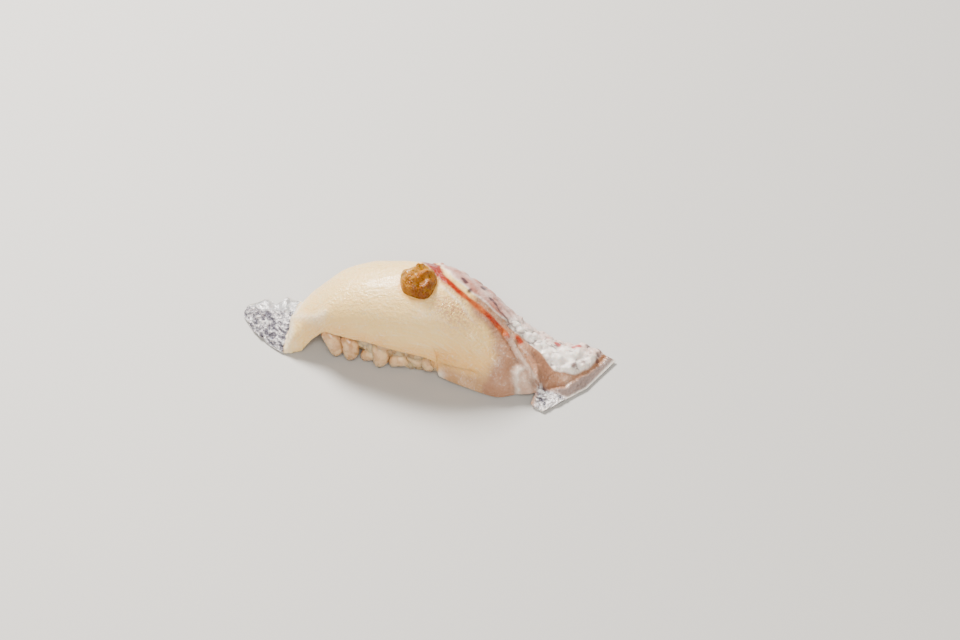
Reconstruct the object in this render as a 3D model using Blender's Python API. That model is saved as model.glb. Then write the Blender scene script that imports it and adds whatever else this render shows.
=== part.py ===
"""Sea bream nigiri: a hand-pressed block of rice under a long slice of raw sea bream that keeps
a strip of scalded skin, with a small dab of relish on top. The slice runs past the rice at both
ends. It thins to a web of silvery film at -X and lies on its cut end at +X.

Frame: metres, +Z up, +X along the slice towards the skin end, -Y the side where the rice shows.
The origin is under the middle of the outline, on the surface that the rice stands on.
The named sizes below are in millimetres.
"""

import math
import random
from typing import NamedTuple

import bmesh
import bpy
import numpy as np
from mathutils import Matrix, Vector
from mathutils.bvhtree import BVHTree

MM = 0.001

# Slice of fish: sizes of its mesh and of its relief
SLICE_STEP = 2.0
SLICE_ACROSS = 24
HEM_THICKNESS = 0.6
HEM_DROP = 0.45
THIN_END_FROM = 25.0
EASE_FROM, EASE_TO = 11, 14
RIPPLE = 0.28
SKIN_RISE = 0.7
SKIN_EDGE = 1.6
LOBE_AT, LOBE_RISE, LOBE_SIZE = (30.8, -10.0), 1.2, (3.2, 2.4)
FOLD_FROM, FOLD_TO, FOLD_RISE, FOLD_WIDTH = (24.4, -4.6), (29.0, -9.2), 0.5, 1.6
UNDERCUT_FROM, UNDERCUT_TO, UNDERCUT_HEIGHT, UNDERCUT_DEPTH = 6.4, 21.0, 6.2, 1.3

# Rice: a rounded block with a flat foot, and grains round its sides
RICE_MIDDLE, RICE_HALF = (3.6, 1.4, 8.4), (26.6, 10.7, 11.4)
RICE_PLAN_POWER, RICE_SIDE_POWER, RICE_SKEW = 3.6, 2.4, -0.28
RICE_AROUND, RICE_RINGS = 40, 14
GRAIN_LENGTH, GRAIN_WIDTH = 7.2, 3.5
GRAIN_SIDES, GRAIN_RINGS = 5, 4
GRAIN_SPACING, GRAIN_PROUD, GRAIN_SEED = 4.9, 0.35, 11
GRAIN_SUNK = 0.6
GRAIN_ROWS = (1.9, 5.0, 8.0)

# Grains that hang under the front hem: two ends of each, and its width
FRONT_GRAINS = (
    ((-24.0, -8.4, 8.6), (-20.2, -9.6, 1.6), 4.8),
    ((-18.0, -9.0, 8.0), (-16.6, -10.0, 1.2), 4.6),
    ((-14.6, -8.8, 1.8), (-10.4, -9.2, 3.6), 3.6),
    ((-9.4, -9.2, 7.4), (-8.4, -10.4, 1.0), 4.6),
    ((-6.6, -9.6, 2.6), (-1.8, -9.4, 4.0), 3.9),
    ((-1.4, -9.0, 5.6), (2.4, -9.6, 3.6), 3.6),
    ((3.4, -8.8, 6.6), (4.2, -10.0, 2.2), 3.7),
)

# Relish: a lumpy dab on the crown of the slice
DAB_AT, DAB_HALF, DAB_HEIGHT = (-0.9, -0.7), (4.8, 4.8), 2.9
DAB_LUMP = 0.15
DAB_WAVES = ((1, 0.07, 2.44), (3, 0.05, 4.19), (5, 0.04, 5.93))
DAB_AROUND, DAB_RINGS = 28, 8

# Pieces that touch keep this gap
GAP = 0.3


class Station(NamedTuple):
    """One cross-section of the slice: three points, how square each side is, and the thickness."""

    front: tuple
    ridge: tuple
    back: tuple
    front_power: float
    back_power: float
    thickness: float


STATIONS = (
    # The web of film, from its tip
    Station((-50.3, -1.5, 0.45), (-50.7, -0.1, 0.9), (-50.4, 1.3, 0.9), 1.2, 1.2, 0.55),
    Station((-47.4, -4.7, 0.45), (-47.8, -0.5, 1.9), (-48.0, 3.9, 1.3), 1.4, 1.4, 0.60),
    Station((-45.4, -6.7, 0.45), (-45.4, -1.0, 2.2), (-45.5, 5.3, 1.5), 1.4, 1.4, 0.65),
    Station((-43.0, -8.3, 0.45), (-43.0, -1.5, 2.4), (-43.1, 4.5, 1.2), 1.5, 1.5, 0.70),
    Station((-38.8, -10.9, 0.45), (-39.0, -2.5, 2.8), (-39.9, 6.6, 2.0), 1.6, 1.6, 0.90),
    # The thick end that stands on its edge, and the rise to the crown
    Station((-35.4, -12.2, 0.5), (-36.6, -3.3, 3.2), (-36.4, 6.5, 2.0), 1.8, 1.8, 1.8),
    Station((-33.8, -11.9, 0.6), (-35.6, -3.3, 5.8), (-34.8, 6.3, 1.6), 2.5, 2.2, 3.4),
    Station((-31.3, -11.0, 1.0), (-32.6, -2.5, 10.0), (-32.0, 7.7, 3.2), 2.5, 2.2, 4.2),
    Station((-27.6, -9.9, 5.4), (-28.4, -1.5, 14.0), (-28.0, 9.9, 5.4), 2.5, 2.2, 4.8),
    Station((-23.0, -11.0, 10.0), (-22.8, -0.3, 18.6), (-22.9, 12.7, 7.6), 2.4, 2.1, 5.0),
    Station((-13.4, -12.2, 10.3), (-12.9, 0.9, 22.6), (-12.9, 14.7, 8.4), 2.3, 2.1, 5.2),
    Station((-2.4, -12.9, 9.8), (-1.9, 1.7, 24.4), (-1.9, 15.1, 8.2), 2.3, 2.1, 5.2),
    # The torn hem, where the front drops low
    Station((6.8, -12.2, 7.6), (5.6, 1.5, 23.9), (5.6, 15.1, 7.4), 2.3, 2.05, 5.0),
    Station((7.4, -11.4, 2.2), (9.0, 1.3, 22.7), (9.0, 14.6, 6.7), 2.4, 2.0, 5.0),
    Station((14.6, -12.5, 1.0), (15.6, 0.3, 19.0), (16.1, 13.3, 5.0), 2.3, 1.9, 4.6),
    Station((23.2, -13.5, 0.5), (22.6, -1.1, 13.2), (23.6, 11.3, 2.6), 2.1, 1.7, 4.0),
    Station((28.6, -11.5, 0.9), (28.8, -1.7, 8.8), (30.6, 10.3, 1.2), 2.1, 1.5, 3.4),
    Station((32.8, -10.5, 1.6), (34.4, -1.5, 6.2), (36.6, 9.7, 1.0), 2.0, 1.4, 3.0),
    # The cut end, which lies flat and at a slant
    Station((34.0, -10.5, 2.2), (37.8, -1.9, 5.0), (40.6, 9.1, 2.0), 1.6, 1.6, 2.6),
    Station((32.9, -13.8, 1.2), (41.0, -2.3, 3.4), (44.4, 8.7, 2.6), 1.3, 1.6, 2.0),
    Station((34.8, -14.9, 0.7), (43.8, -3.7, 1.9), (48.0, 8.1, 1.4), 1.1, 1.1, 1.4),
    Station((36.5, -15.5, 0.5), (45.6, -4.5, 0.7), (50.7, 7.6, 0.8), 1.0, 1.0, 0.6),
)

# Edge of the skin seen from above, from the back hem over the crown to the cut end
SKIN_LINE = (
    (-4.6, 15.5), (0.4, 9.6), (3.0, 5.4), (6.6, 2.4), (13.0, 0.7), (20.0, 0.1), (27.3, 0.5),
    (32.0, -0.9), (36.6, -4.6), (41.6, -2.4), (44.2, 1.2), (46.2, 7.4),
)


def rail_table() -> tuple:
    """The stations as rows of numbers, with the distance along the ridge of each."""
    rows = np.array(
        [[*s.front, *s.ridge, *s.back, s.front_power, s.back_power, s.thickness] for s in STATIONS]
    )
    steps = np.linalg.norm(np.diff(rows[:, 3:6], axis=0), axis=1)
    return np.concatenate([[0.0], np.cumsum(steps)]), rows


def smooth_through(knots: np.ndarray, rows: np.ndarray, at: np.ndarray) -> np.ndarray:
    """A cubic through the rows that never swings past them (Fritsch and Carlson's slopes)."""
    width = np.diff(knots)
    slope = np.diff(rows, axis=0) / width[:, None]
    before, after = slope[:-1], slope[1:]
    near, far = (2 * width[1:] + width[:-1])[:, None], (width[1:] + 2 * width[:-1])[:, None]
    same = before * after > 0
    mean = (near + far) / (near / np.where(same, before, 1) + far / np.where(same, after, 1))
    tangent = np.concatenate([slope[:1], np.where(same, mean, 0), slope[-1:]])
    i = np.clip(np.searchsorted(knots, at, side="right") - 1, 0, len(width) - 1)
    t, w = ((at - knots[i]) / width[i])[:, None], width[i][:, None]
    return (
        (1 + 2 * t) * (1 - t) ** 2 * rows[i]
        + t * (1 - t) ** 2 * w * tangent[i]
        + t * t * (3 - 2 * t) * rows[i + 1]
        + t * t * (t - 1) * w * tangent[i + 1]
    )


def along_samples() -> np.ndarray:
    """Distances along the slice: every station, and even steps between them."""
    knots, _ = rail_table()
    found = [knots[:1]]
    for start, end in zip(knots[:-1], knots[1:]):
        count = max(2, round((end - start) / SLICE_STEP))
        found.append(np.linspace(start, end, count + 1)[1:])
    return np.concatenate(found)


def arch(front: np.ndarray, ridge: np.ndarray, back: np.ndarray, powers: np.ndarray, across: np.ndarray):
    """Superellipse arches from each front point over the ridge to the back point."""
    forward = across[None, :] < 0
    side = np.where(forward[..., None], front[:, None], back[:, None])
    top = ridge[:, None]
    power = np.where(forward, powers[:, :1], powers[:, 1:])
    turn = np.abs(across)[None, :] * math.pi / 2
    out = np.sin(turn) ** (2 / power)
    up = np.clip(np.cos(turn), 0, 1) ** (2 / power)
    plan = top[..., :2] + (side - top)[..., :2] * out[..., None]
    height = side[..., 2] + (top - side)[..., 2] * up
    return np.concatenate([plan, height[..., None]], axis=2)


def eased(front: np.ndarray, at: np.ndarray) -> np.ndarray:
    """The front hem with the tear smoothed out, as the slice lies above it."""
    knots, _ = rail_table()
    start, end = knots[EASE_FROM], knots[EASE_TO]
    t = np.clip((at - start) / (end - start), 0, 1)[:, None]
    first = front[np.searchsorted(at, start)]
    last = front[np.searchsorted(at, end)]
    even = first + (last - first) * t
    even[:, 2] = (first + (last - first) * smooth_step(t))[:, 2]
    return np.where((t > 0) & (t < 1), even, front)


def draped(front: np.ndarray, ridge: np.ndarray, back: np.ndarray, powers: np.ndarray, across: np.ndarray):
    """Arches over the slice, with the tear only near the front hem."""
    torn = arch(front, ridge, back, powers, across)
    even = arch(eased(front, along_samples()), ridge, back, powers, across)
    near_hem = smooth_step((-across - 0.66) / 0.28)[None, :, None]
    return even + (torn - even) * near_hem


def grid_normals(grid: np.ndarray) -> np.ndarray:
    """Unit normals of a grid of points, pointing up and outwards."""
    normal = np.cross(np.gradient(grid, axis=0), np.gradient(grid, axis=1))
    length = np.linalg.norm(normal, axis=2, keepdims=True)
    return normal / np.maximum(length, 1e-9)


def distance_to_line(points: np.ndarray, line: tuple) -> np.ndarray:
    """Distance from each point in plan to a polyline, positive on its left side."""
    best = np.full(points.shape[:-1], 1e9)
    for start, end in zip(line[:-1], line[1:]):
        a, d = np.array(start), np.array(end) - np.array(start)
        t = np.clip(((points - a) @ d) / (d @ d), 0, 1)
        away = points - (a + t[..., None] * d)
        size = np.hypot(away[..., 0], away[..., 1])
        side = np.where(d[0] * away[..., 1] - d[1] * away[..., 0] >= 0, 1.0, -1.0)
        best = np.where(size < np.abs(best), size * side, best)
    return best


def smooth_step(x: np.ndarray) -> np.ndarray:
    """0 below 0, 1 above 1, and smooth between."""
    x = np.clip(x, 0, 1)
    return x * x * (3 - 2 * x)


def relief(grid: np.ndarray) -> np.ndarray:
    """How far the outer face stands out along its normal: skin, lobe, fold and undercut."""
    plan, height = grid[..., :2], grid[..., 2]
    skin = SKIN_RISE * smooth_step(distance_to_line(plan, SKIN_LINE) / SKIN_EDGE)
    off = (plan - np.array(LOBE_AT)) / np.array(LOBE_SIZE)
    lobe = LOBE_RISE * np.exp(-np.sum(off * off, axis=-1))
    off = distance_to_line(plan, (FOLD_FROM, FOLD_TO)) / FOLD_WIDTH
    fold = FOLD_RISE * np.exp(-off * off)
    reach = smooth_step((plan[..., 0] - UNDERCUT_FROM) / 2) * smooth_step((UNDERCUT_TO - plan[..., 0]) / 6)
    below = UNDERCUT_HEIGHT + 0.05 * (plan[..., 0] - UNDERCUT_FROM) - height
    level = smooth_step(below / 0.9 + 0.5) * np.exp(-np.clip(below, 0, None) / 2.6) * (plan[..., 1] < 0)
    return skin + lobe + fold - UNDERCUT_DEPTH * reach * level


def ripples(grid: np.ndarray) -> np.ndarray:
    """Up and down waves of the thin film at -X and of the front tip of the cut end."""
    x, y = grid[..., 0], grid[..., 1]
    film = smooth_step((-37.5 - x) / 3)
    tip = smooth_step((x - 33.0) / 2) * smooth_step((-7.0 - y) / 4)
    wave = np.sin(1.15 * x + 0.7 * y + 1.1 * np.sin(0.45 * y)) + 0.6 * np.sin(1.05 * y - 0.5 * x)
    return RIPPLE * (wave + 0.8) * (film + 0.5 * tip)


def left_of(rail: np.ndarray) -> np.ndarray:
    """Level unit vectors to the left of a rail, eased round its corners."""
    run = np.gradient(rail, axis=0)
    for _ in range(2):
        run[1:-1] = (run[:-2] + 2 * run[1:-1] + run[2:]) / 4
    left = np.stack([-run[:, 1], run[:, 0], np.zeros(len(run))], axis=1)
    return left / np.linalg.norm(left, axis=1, keepdims=True)


def slice_faces(grow: float) -> tuple:
    """The outer and inner faces of the slice as grids, the inner one grown towards the rice."""
    knots, rows = rail_table()
    table = smooth_through(knots, rows, along_samples())
    across = np.linspace(-1, 1, SLICE_ACROSS + 1)
    front, ridge, back, powers, thick = table[:, 0:3], table[:, 3:6], table[:, 6:9], table[:, 9:11], table[:, 11:]
    plain = draped(front, ridge, back, powers, across)
    normals = grid_normals(plain)
    edge = np.minimum(1, (1 - np.abs(across)) / 0.12)
    outer = plain + normals * (relief(plain) * edge[None, :])[..., None]
    run = np.gradient(ridge, axis=0)
    run[:, 1] = 0
    run /= np.linalg.norm(run, axis=1, keepdims=True)
    inward = np.stack([run[:, 2], np.zeros(len(run)), -run[:, 0]], axis=1)
    depth = thick + grow
    shift = inward * depth
    hem = np.minimum(HEM_THICKNESS * depth, 0.3 * (back - front)[:, 1:2])
    inner_front = front + hem * left_of(front)
    inner_back = back - hem * left_of(back)
    for rail in (inner_front, inner_back):
        rail[:, 2] -= HEM_DROP + grow
    inner = draped(inner_front, ridge + shift, inner_back, powers, across)
    thin_end = smooth_step((plain[..., :1] - THIN_END_FROM) / 6)
    taper = (1 - 0.6 * np.abs(across) ** 3)[None, :, None]
    inner += (plain - normals * depth[:, None] * taper - inner) * thin_end
    outer[..., 2] += ripples(plain)
    inner[..., 2] += ripples(plain)
    floor = 0.0 if grow == 0 else -1.0
    inner[..., 2] = np.maximum(inner[..., 2], floor)
    return outer, inner


def grid_solid(name: str, outer: np.ndarray, inner: np.ndarray) -> bpy.types.Object:
    """A closed object between two grids of points, in millimetres."""
    along, across = outer.shape[:2]
    mesh = bmesh.new()
    made = [[[mesh.verts.new(Vector(p) * MM) for p in row] for row in face] for face in (outer, inner)]
    for side, face in enumerate(made):
        for i in range(along - 1):
            for j in range(across - 1):
                ring = (face[i][j], face[i + 1][j], face[i + 1][j + 1], face[i][j + 1])
                mesh.faces.new(ring if side == 0 else ring[::-1])
    rim = [(i, 0) for i in range(along)]
    rim += [(along - 1, j) for j in range(1, across)]
    rim += [(i, across - 1) for i in range(along - 2, -1, -1)]
    rim += [(0, j) for j in range(across - 2, 0, -1)]
    top, under = made
    for (i, j), (k, m) in zip(rim, rim[1:] + rim[:1]):
        mesh.faces.new((top[k][m], top[i][j], under[i][j], under[k][m]))
    bmesh.ops.triangulate(mesh, faces=mesh.faces[:])
    bmesh.ops.recalc_face_normals(mesh, faces=mesh.faces[:])
    return object_from(name, mesh)


def object_from(name: str, mesh: bmesh.types.BMesh) -> bpy.types.Object:
    """A named object in the scene from a bmesh, which is freed."""
    data = bpy.data.meshes.new(name)
    mesh.to_mesh(data)
    mesh.free()
    made = bpy.data.objects.new(name, data)
    bpy.context.scene.collection.objects.link(made)
    return made


def signed_power(value: float, power: float) -> float:
    """value to a power, keeping its sign."""
    return math.copysign(abs(value) ** power, value)


def rice_point(turn: float, tilt: float) -> Vector:
    """A point of the rice block: turn goes round it and tilt from its foot to its top."""
    ring = max(math.cos(tilt), 0.0) ** (2 / RICE_SIDE_POWER)
    x = RICE_MIDDLE[0] + RICE_HALF[0] * ring * signed_power(math.cos(turn), 2 / RICE_PLAN_POWER)
    y = RICE_MIDDLE[1] + RICE_HALF[1] * ring * signed_power(math.sin(turn), 2 / RICE_PLAN_POWER)
    z = RICE_MIDDLE[2] + RICE_HALF[2] * signed_power(math.sin(tilt), 2 / RICE_SIDE_POWER)
    return Vector((x + RICE_SKEW * (y - RICE_MIDDLE[1]), y, max(z, 0.0)))


def rice_core() -> bpy.types.Object:
    """The pressed block without its grains, flat underneath."""
    mesh = bmesh.new()
    rings = []
    for k in range(1, RICE_RINGS):
        tilt = -math.pi / 2 + math.pi * k / RICE_RINGS
        turns = [2 * math.pi * i / RICE_AROUND for i in range(RICE_AROUND)]
        rings.append([mesh.verts.new(rice_point(turn, tilt) * MM) for turn in turns])
    for low, high in zip(rings[:-1], rings[1:]):
        for i in range(RICE_AROUND):
            j = (i + 1) % RICE_AROUND
            mesh.faces.new((low[i], low[j], high[j], high[i]))
    for ring, tilt in ((rings[0], -math.pi / 2), (rings[-1], math.pi / 2)):
        pole = mesh.verts.new(rice_point(0, tilt) * MM)
        for i in range(RICE_AROUND):
            mesh.faces.new((ring[i], ring[(i + 1) % RICE_AROUND], pole))
    bmesh.ops.triangulate(mesh, faces=mesh.faces[:])
    bmesh.ops.recalc_face_normals(mesh, faces=mesh.faces[:])
    return object_from("rice", mesh)


def grain(place: Matrix, number: int) -> bpy.types.Object:
    """One cooked grain: a few-sided spindle with blunt ends."""
    mesh = bmesh.new()
    bmesh.ops.create_uvsphere(mesh, u_segments=GRAIN_SIDES, v_segments=GRAIN_RINGS, radius=1.0)
    size = Matrix.Diagonal((GRAIN_WIDTH / 2, GRAIN_WIDTH / 2 * 0.9, GRAIN_LENGTH / 2, 1))
    bmesh.ops.transform(mesh, matrix=Matrix.Scale(MM, 4) @ place @ size, verts=mesh.verts)
    return object_from(f"grain_{number}", mesh)


def front_grain_places() -> list:
    """Where the grains under the front hem lie, each with its own width and length."""
    places = []
    for low, high, width in FRONT_GRAINS:
        start, end = Vector(low), Vector(high)
        lie = (end - start).normalized()
        side = lie.cross(Vector((0, 1, 0))).normalized()
        frame = Matrix((side, lie.cross(side), lie)).transposed().to_4x4()
        scale = (width / GRAIN_WIDTH, width / GRAIN_WIDTH, ((end - start).length + 0.6) / GRAIN_LENGTH)
        places.append(Matrix.Translation((start + end) / 2) @ frame @ Matrix.Diagonal((*scale, 1)))
    return places


def behind_front_grains(point: Vector) -> bool:
    """Whether a place lies where the grains under the front hem are."""
    x, y, _ = point
    return y < -6.5 and FRONT_GRAINS[0][0][0] - 1 < x < FRONT_GRAINS[-1][1][0] + 1


def tilt_at_height(height: float) -> float:
    """The tilt of rice_point where the block's side is this high."""
    rise = (height - RICE_MIDDLE[2]) / RICE_HALF[2]
    return math.asin(signed_power(rise, RICE_SIDE_POWER / 2))


def grain_places() -> list:
    """Where the grains lie: rows round the sides, each with its own start and a random lie."""
    chance = random.Random(GRAIN_SEED)
    places = []
    for row, height in enumerate(GRAIN_ROWS):
        tilt = tilt_at_height(height)
        lengths = [0.0]
        fine = [rice_point(2 * math.pi * i / 360, tilt) for i in range(361)]
        for a, b in zip(fine[:-1], fine[1:]):
            lengths.append(lengths[-1] + (b - a).length)
        count = round(lengths[-1] / GRAIN_SPACING)
        for i in range(count):
            goal = lengths[-1] * ((i + 0.5 * (row % 2) + chance.uniform(-0.22, 0.22)) % count) / count
            turn = 2 * math.pi * np.searchsorted(lengths, goal) / 360
            point = rice_point(turn, tilt)
            step = 0.02
            ahead = rice_point(turn + step, tilt) - rice_point(turn - step, tilt)
            rise = rice_point(turn, tilt + step) - rice_point(turn, tilt - step)
            out = ahead.cross(rise).normalized()
            side = ahead.normalized()
            lie = Matrix.Rotation(chance.uniform(-1.2, 1.2), 3, out) @ side
            lie = (lie + out * chance.uniform(-0.25, 0.25)).normalized()
            across = out.cross(lie).normalized()
            frame = Matrix((across, lie.cross(across), lie)).transposed().to_4x4()
            proud = GRAIN_PROUD - (GRAIN_SUNK if behind_front_grains(point) else 0)
            point = point + out * proud + Vector((0, 0, chance.uniform(-0.5, 0.5)))
            places.append(Matrix.Translation(point) @ frame)
    return places


def block(name: str, low: tuple, high: tuple) -> bpy.types.Object:
    """A box between two corners, in millimetres."""
    mesh = bmesh.new()
    bmesh.ops.create_cube(mesh, size=1.0)
    middle = (Vector(low) + Vector(high)) / 2 * MM
    size = (Vector(high) - Vector(low)) * MM
    place = Matrix.Translation(middle) @ Matrix.Diagonal((*size, 1))
    bmesh.ops.transform(mesh, matrix=place, verts=mesh.verts)
    return object_from(name, mesh)


def apply_boolean(target: bpy.types.Object, operation: str, tools: list) -> None:
    """Joins the tools to the target, or cuts them from it, and removes them."""
    group = bpy.data.collections.new("tools")
    for tool in tools:
        group.objects.link(tool)
    modifier = target.modifiers.new("join", "BOOLEAN")
    modifier.operation = operation
    modifier.operand_type = "COLLECTION"
    modifier.collection = group
    modifier.solver = "MANIFOLD"
    graph = bpy.context.evaluated_depsgraph_get()
    result = bpy.data.meshes.new_from_object(target.evaluated_get(graph))
    target.modifiers.clear()
    target.data = result
    for tool in tools:
        bpy.data.objects.remove(tool)
    bpy.data.collections.remove(group)


def keep_largest(target: bpy.types.Object) -> None:
    """Drops every loose scrap, such as a grain's tip cut off by the slice."""
    mesh = bmesh.new()
    mesh.from_mesh(target.data)
    left = set(mesh.verts)
    parts = []
    while left:
        stack, found = [left.pop()], []
        while stack:
            vert = stack.pop()
            found.append(vert)
            for edge in vert.link_edges:
                other = edge.other_vert(vert)
                if other in left:
                    left.remove(other)
                    stack.append(other)
        parts.append(found)
    parts.sort(key=len)
    for part in parts[:-1]:
        bmesh.ops.delete(mesh, geom=part, context="VERTS")
    mesh.to_mesh(target.data)
    mesh.free()


def make_rice() -> bpy.types.Object:
    """The rice: block and grains joined, hollowed to the slice above it and flat underneath."""
    rice = rice_core()
    grains = [grain(place, n) for n, place in enumerate(front_grain_places() + grain_places())]
    apply_boolean(rice, "UNION", grains)
    outer, inner = slice_faces(GAP)
    over = outer + grid_normals(outer) * GAP
    room = grid_solid("room_for_slice", over, inner)
    below = block("below_foot", (-60, -30, -10), (60, 30, 0))
    beside_tear = block("beside_tear", (5.7, -16, -10), (8.5, -8.7, 7.4))
    apply_boolean(rice, "DIFFERENCE", [room, below, beside_tear])
    keep_largest(rice)
    return rice


def dab_height(x: float, y: float, reach: float) -> float:
    """Height of the relish over the slice: a dome with a few soft lumps."""
    lumps = math.sin(1.1 * x + 0.4) * math.sin(1.3 * y + 1.9) + 0.7 * math.sin(1.9 * x - 1.2 * y)
    return DAB_HEIGHT * max(1 - reach**2.8, 0.0) ** 0.5 * (1 + DAB_LUMP * lumps)


def make_dab(fish: bpy.types.Object) -> bpy.types.Object:
    """The relish: a lumpy cap whose underside follows the slice."""
    tree = BVHTree.FromObject(fish, bpy.context.evaluated_depsgraph_get())

    def on_slice(x: float, y: float) -> float:
        hit = tree.ray_cast(Vector((x, y, 60)) * MM, Vector((0, 0, -1)))
        return hit[0].z / MM + GAP

    mesh = bmesh.new()
    tops, feet = [], []
    for k in range(1, DAB_RINGS + 1):
        reach = k / DAB_RINGS
        top, foot = [], []
        for i in range(DAB_AROUND):
            turn = 2 * math.pi * i / DAB_AROUND
            bulge = 1 + sum(size * math.sin(n * turn + start) for n, size, start in DAB_WAVES)
            x = DAB_AT[0] + DAB_HALF[0] * bulge * reach * math.cos(turn)
            y = DAB_AT[1] + DAB_HALF[1] * bulge * reach * math.sin(turn)
            base = on_slice(x, y)
            top.append(mesh.verts.new(Vector((x, y, base + dab_height(x, y, reach) + 0.4)) * MM))
            foot.append(mesh.verts.new(Vector((x, y, base)) * MM))
        tops.append(top)
        feet.append(foot)
    base = on_slice(*DAB_AT)
    peak = base + dab_height(*DAB_AT, 0) + 0.4
    poles = [mesh.verts.new(Vector((*DAB_AT, z)) * MM) for z in (peak, base)]
    for i in range(DAB_AROUND):
        j = (i + 1) % DAB_AROUND
        for rings, pole in ((tops, poles[0]), (feet, poles[1])):
            mesh.faces.new((rings[0][i], rings[0][j], pole))
            for low, high in zip(rings[:-1], rings[1:]):
                mesh.faces.new((low[i], low[j], high[j], high[i]))
        mesh.faces.new((tops[-1][i], tops[-1][j], feet[-1][j], feet[-1][i]))
    bmesh.ops.triangulate(mesh, faces=mesh.faces[:])
    bmesh.ops.recalc_face_normals(mesh, faces=mesh.faces[:])
    return object_from("relish_dab", mesh)


def dress(target: bpy.types.Object, name: str, colour: tuple, roughness: float) -> None:
    """Gives an object its own matt or moist food material, smooth shaded."""
    material = bpy.data.materials.new(name)
    material.use_nodes = True
    shader = material.node_tree.nodes["Principled BSDF"]
    shader.inputs["Base Color"].default_value = (*colour, 1)
    shader.inputs["Roughness"].default_value = roughness
    shader.inputs["Metallic"].default_value = 0.0
    target.data.materials.clear()
    target.data.materials.append(material)
    target.data.shade_smooth()
    target.data.set_sharp_from_angle(angle=math.radians(50))


def main() -> None:
    """Builds the three pieces of the nigiri."""
    for old in list(bpy.data.objects):
        bpy.data.objects.remove(old)
    fish = grid_solid("fish_slice", *slice_faces(0))
    rice = make_rice()
    dab = make_dab(fish)
    dress(fish, "raw_sea_bream", (0.80, 0.66, 0.50), 0.3)
    dress(rice, "cooked_rice", (0.84, 0.76, 0.62), 0.4)
    dress(dab, "relish", (0.42, 0.22, 0.01), 0.35)


main()
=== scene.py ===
"""Looks of a sea bream nigiri: flesh, blood line, scalded skin and silvery film of the slice,
loose cooked grains round their core, and a glossy dab of relish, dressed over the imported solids.

Sizes in the classes are in millimetres in the frame's axes: +X along the slice to its skin end,
-Y the side where the rice shows, +Z up. Meshes are written in metres.
"""

from __future__ import annotations

import logging
import math
import random
from dataclasses import dataclass
from enum import Enum
from functools import reduce
from types import SimpleNamespace

import bpy
import numpy as np
from mathutils import Matrix, Vector
from mathutils.bvhtree import BVHTree

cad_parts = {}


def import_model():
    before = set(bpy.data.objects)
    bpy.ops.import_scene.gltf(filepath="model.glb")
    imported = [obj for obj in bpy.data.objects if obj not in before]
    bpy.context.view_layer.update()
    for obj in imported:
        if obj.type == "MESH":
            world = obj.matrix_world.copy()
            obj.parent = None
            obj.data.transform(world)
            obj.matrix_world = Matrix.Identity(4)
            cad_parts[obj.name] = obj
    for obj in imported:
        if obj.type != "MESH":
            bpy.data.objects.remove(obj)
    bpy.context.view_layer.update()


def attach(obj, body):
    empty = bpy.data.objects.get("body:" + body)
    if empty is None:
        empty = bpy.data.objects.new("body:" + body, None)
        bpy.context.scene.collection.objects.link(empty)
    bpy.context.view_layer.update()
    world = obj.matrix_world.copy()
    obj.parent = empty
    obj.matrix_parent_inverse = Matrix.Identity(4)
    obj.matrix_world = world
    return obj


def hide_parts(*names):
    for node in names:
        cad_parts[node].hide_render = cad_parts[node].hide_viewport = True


LOG = logging.getLogger("nigiri")
MM = 0.001
ABOVE, BELOW = 60.0, -5.0  # heights over and under the whole piece, in mm

Colour = tuple[float, float, float]
Point = tuple[float, float]
Line = tuple[Point, ...]
Triple = tuple[float, float, float]

# Point attributes of the slice, from 0 to 1, that its finish reads
MASKS = (
    "warm", "clear", "granular", "blood", "skin", "pink", "border", "mark",
    "film", "strip", "hollow", "pale", "red", "ooze", "calm", "crest",
)


class GrainShape(Enum):
    """Bend of a cooked grain, as a part of its width."""

    STRAIGHT = 0.0
    CURVED = 0.10
    HOOKED = -0.17


def rise(x: np.ndarray) -> np.ndarray:
    """0 below 0, 1 above 1, and smooth between."""
    x = np.clip(x, 0, 1)
    return x * x * (3 - 2 * x)


def bell(x: np.ndarray) -> np.ndarray:
    """A round bump of height 1 and half-width 1."""
    return np.exp(-x * x)


def most(*values: object) -> np.ndarray:
    """The largest of some numbers or grids, place by place."""
    return reduce(np.maximum, values)


def noise(seed: int, cell: float, points: np.ndarray) -> np.ndarray:
    """Smooth seeded noise in space.

    Args:
        seed: picks the pattern.
        cell: size of one bump in mm.
        points: places in mm.

    Returns:
        A value between -1 and 1 for each place.
    """
    count = 32
    table = np.random.default_rng(seed).uniform(-1, 1, (count, count, count))
    place = points / cell + count / 2
    low = np.floor(place).astype(int)
    part = place - low
    part = part * part * (3 - 2 * part)
    total = np.zeros(points.shape[:-1])
    for corner in np.ndindex(2, 2, 2):
        weight = np.prod(np.where(corner, part, 1 - part), axis=-1)
        x, y, z = (low[..., k] + corner[k] for k in range(3))
        total += weight * table[x % count, y % count, z % count]
    return total


def distance_to_line(points: np.ndarray, line: Line) -> np.ndarray:
    """Distance in plan to a polyline, positive on its left side.

    Args:
        points: places, of which x and y count.
        line: corners of the polyline.

    Returns:
        One distance for each place.
    """
    plan = points[..., :2]
    best = np.full(plan.shape[:-1], 1e9)
    for start, end in zip(line[:-1], line[1:]):
        a, d = np.array(start), np.array(end) - np.array(start)
        t = np.clip(((plan - a) @ d) / (d @ d), 0, 1)
        away = plan - (a + t[..., None] * d)
        size = np.hypot(away[..., 0], away[..., 1])
        side = np.where(d[0] * away[..., 1] - d[1] * away[..., 0] >= 0, 1.0, -1.0)
        best = np.where(size < np.abs(best), size * side, best)
    return best


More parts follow.
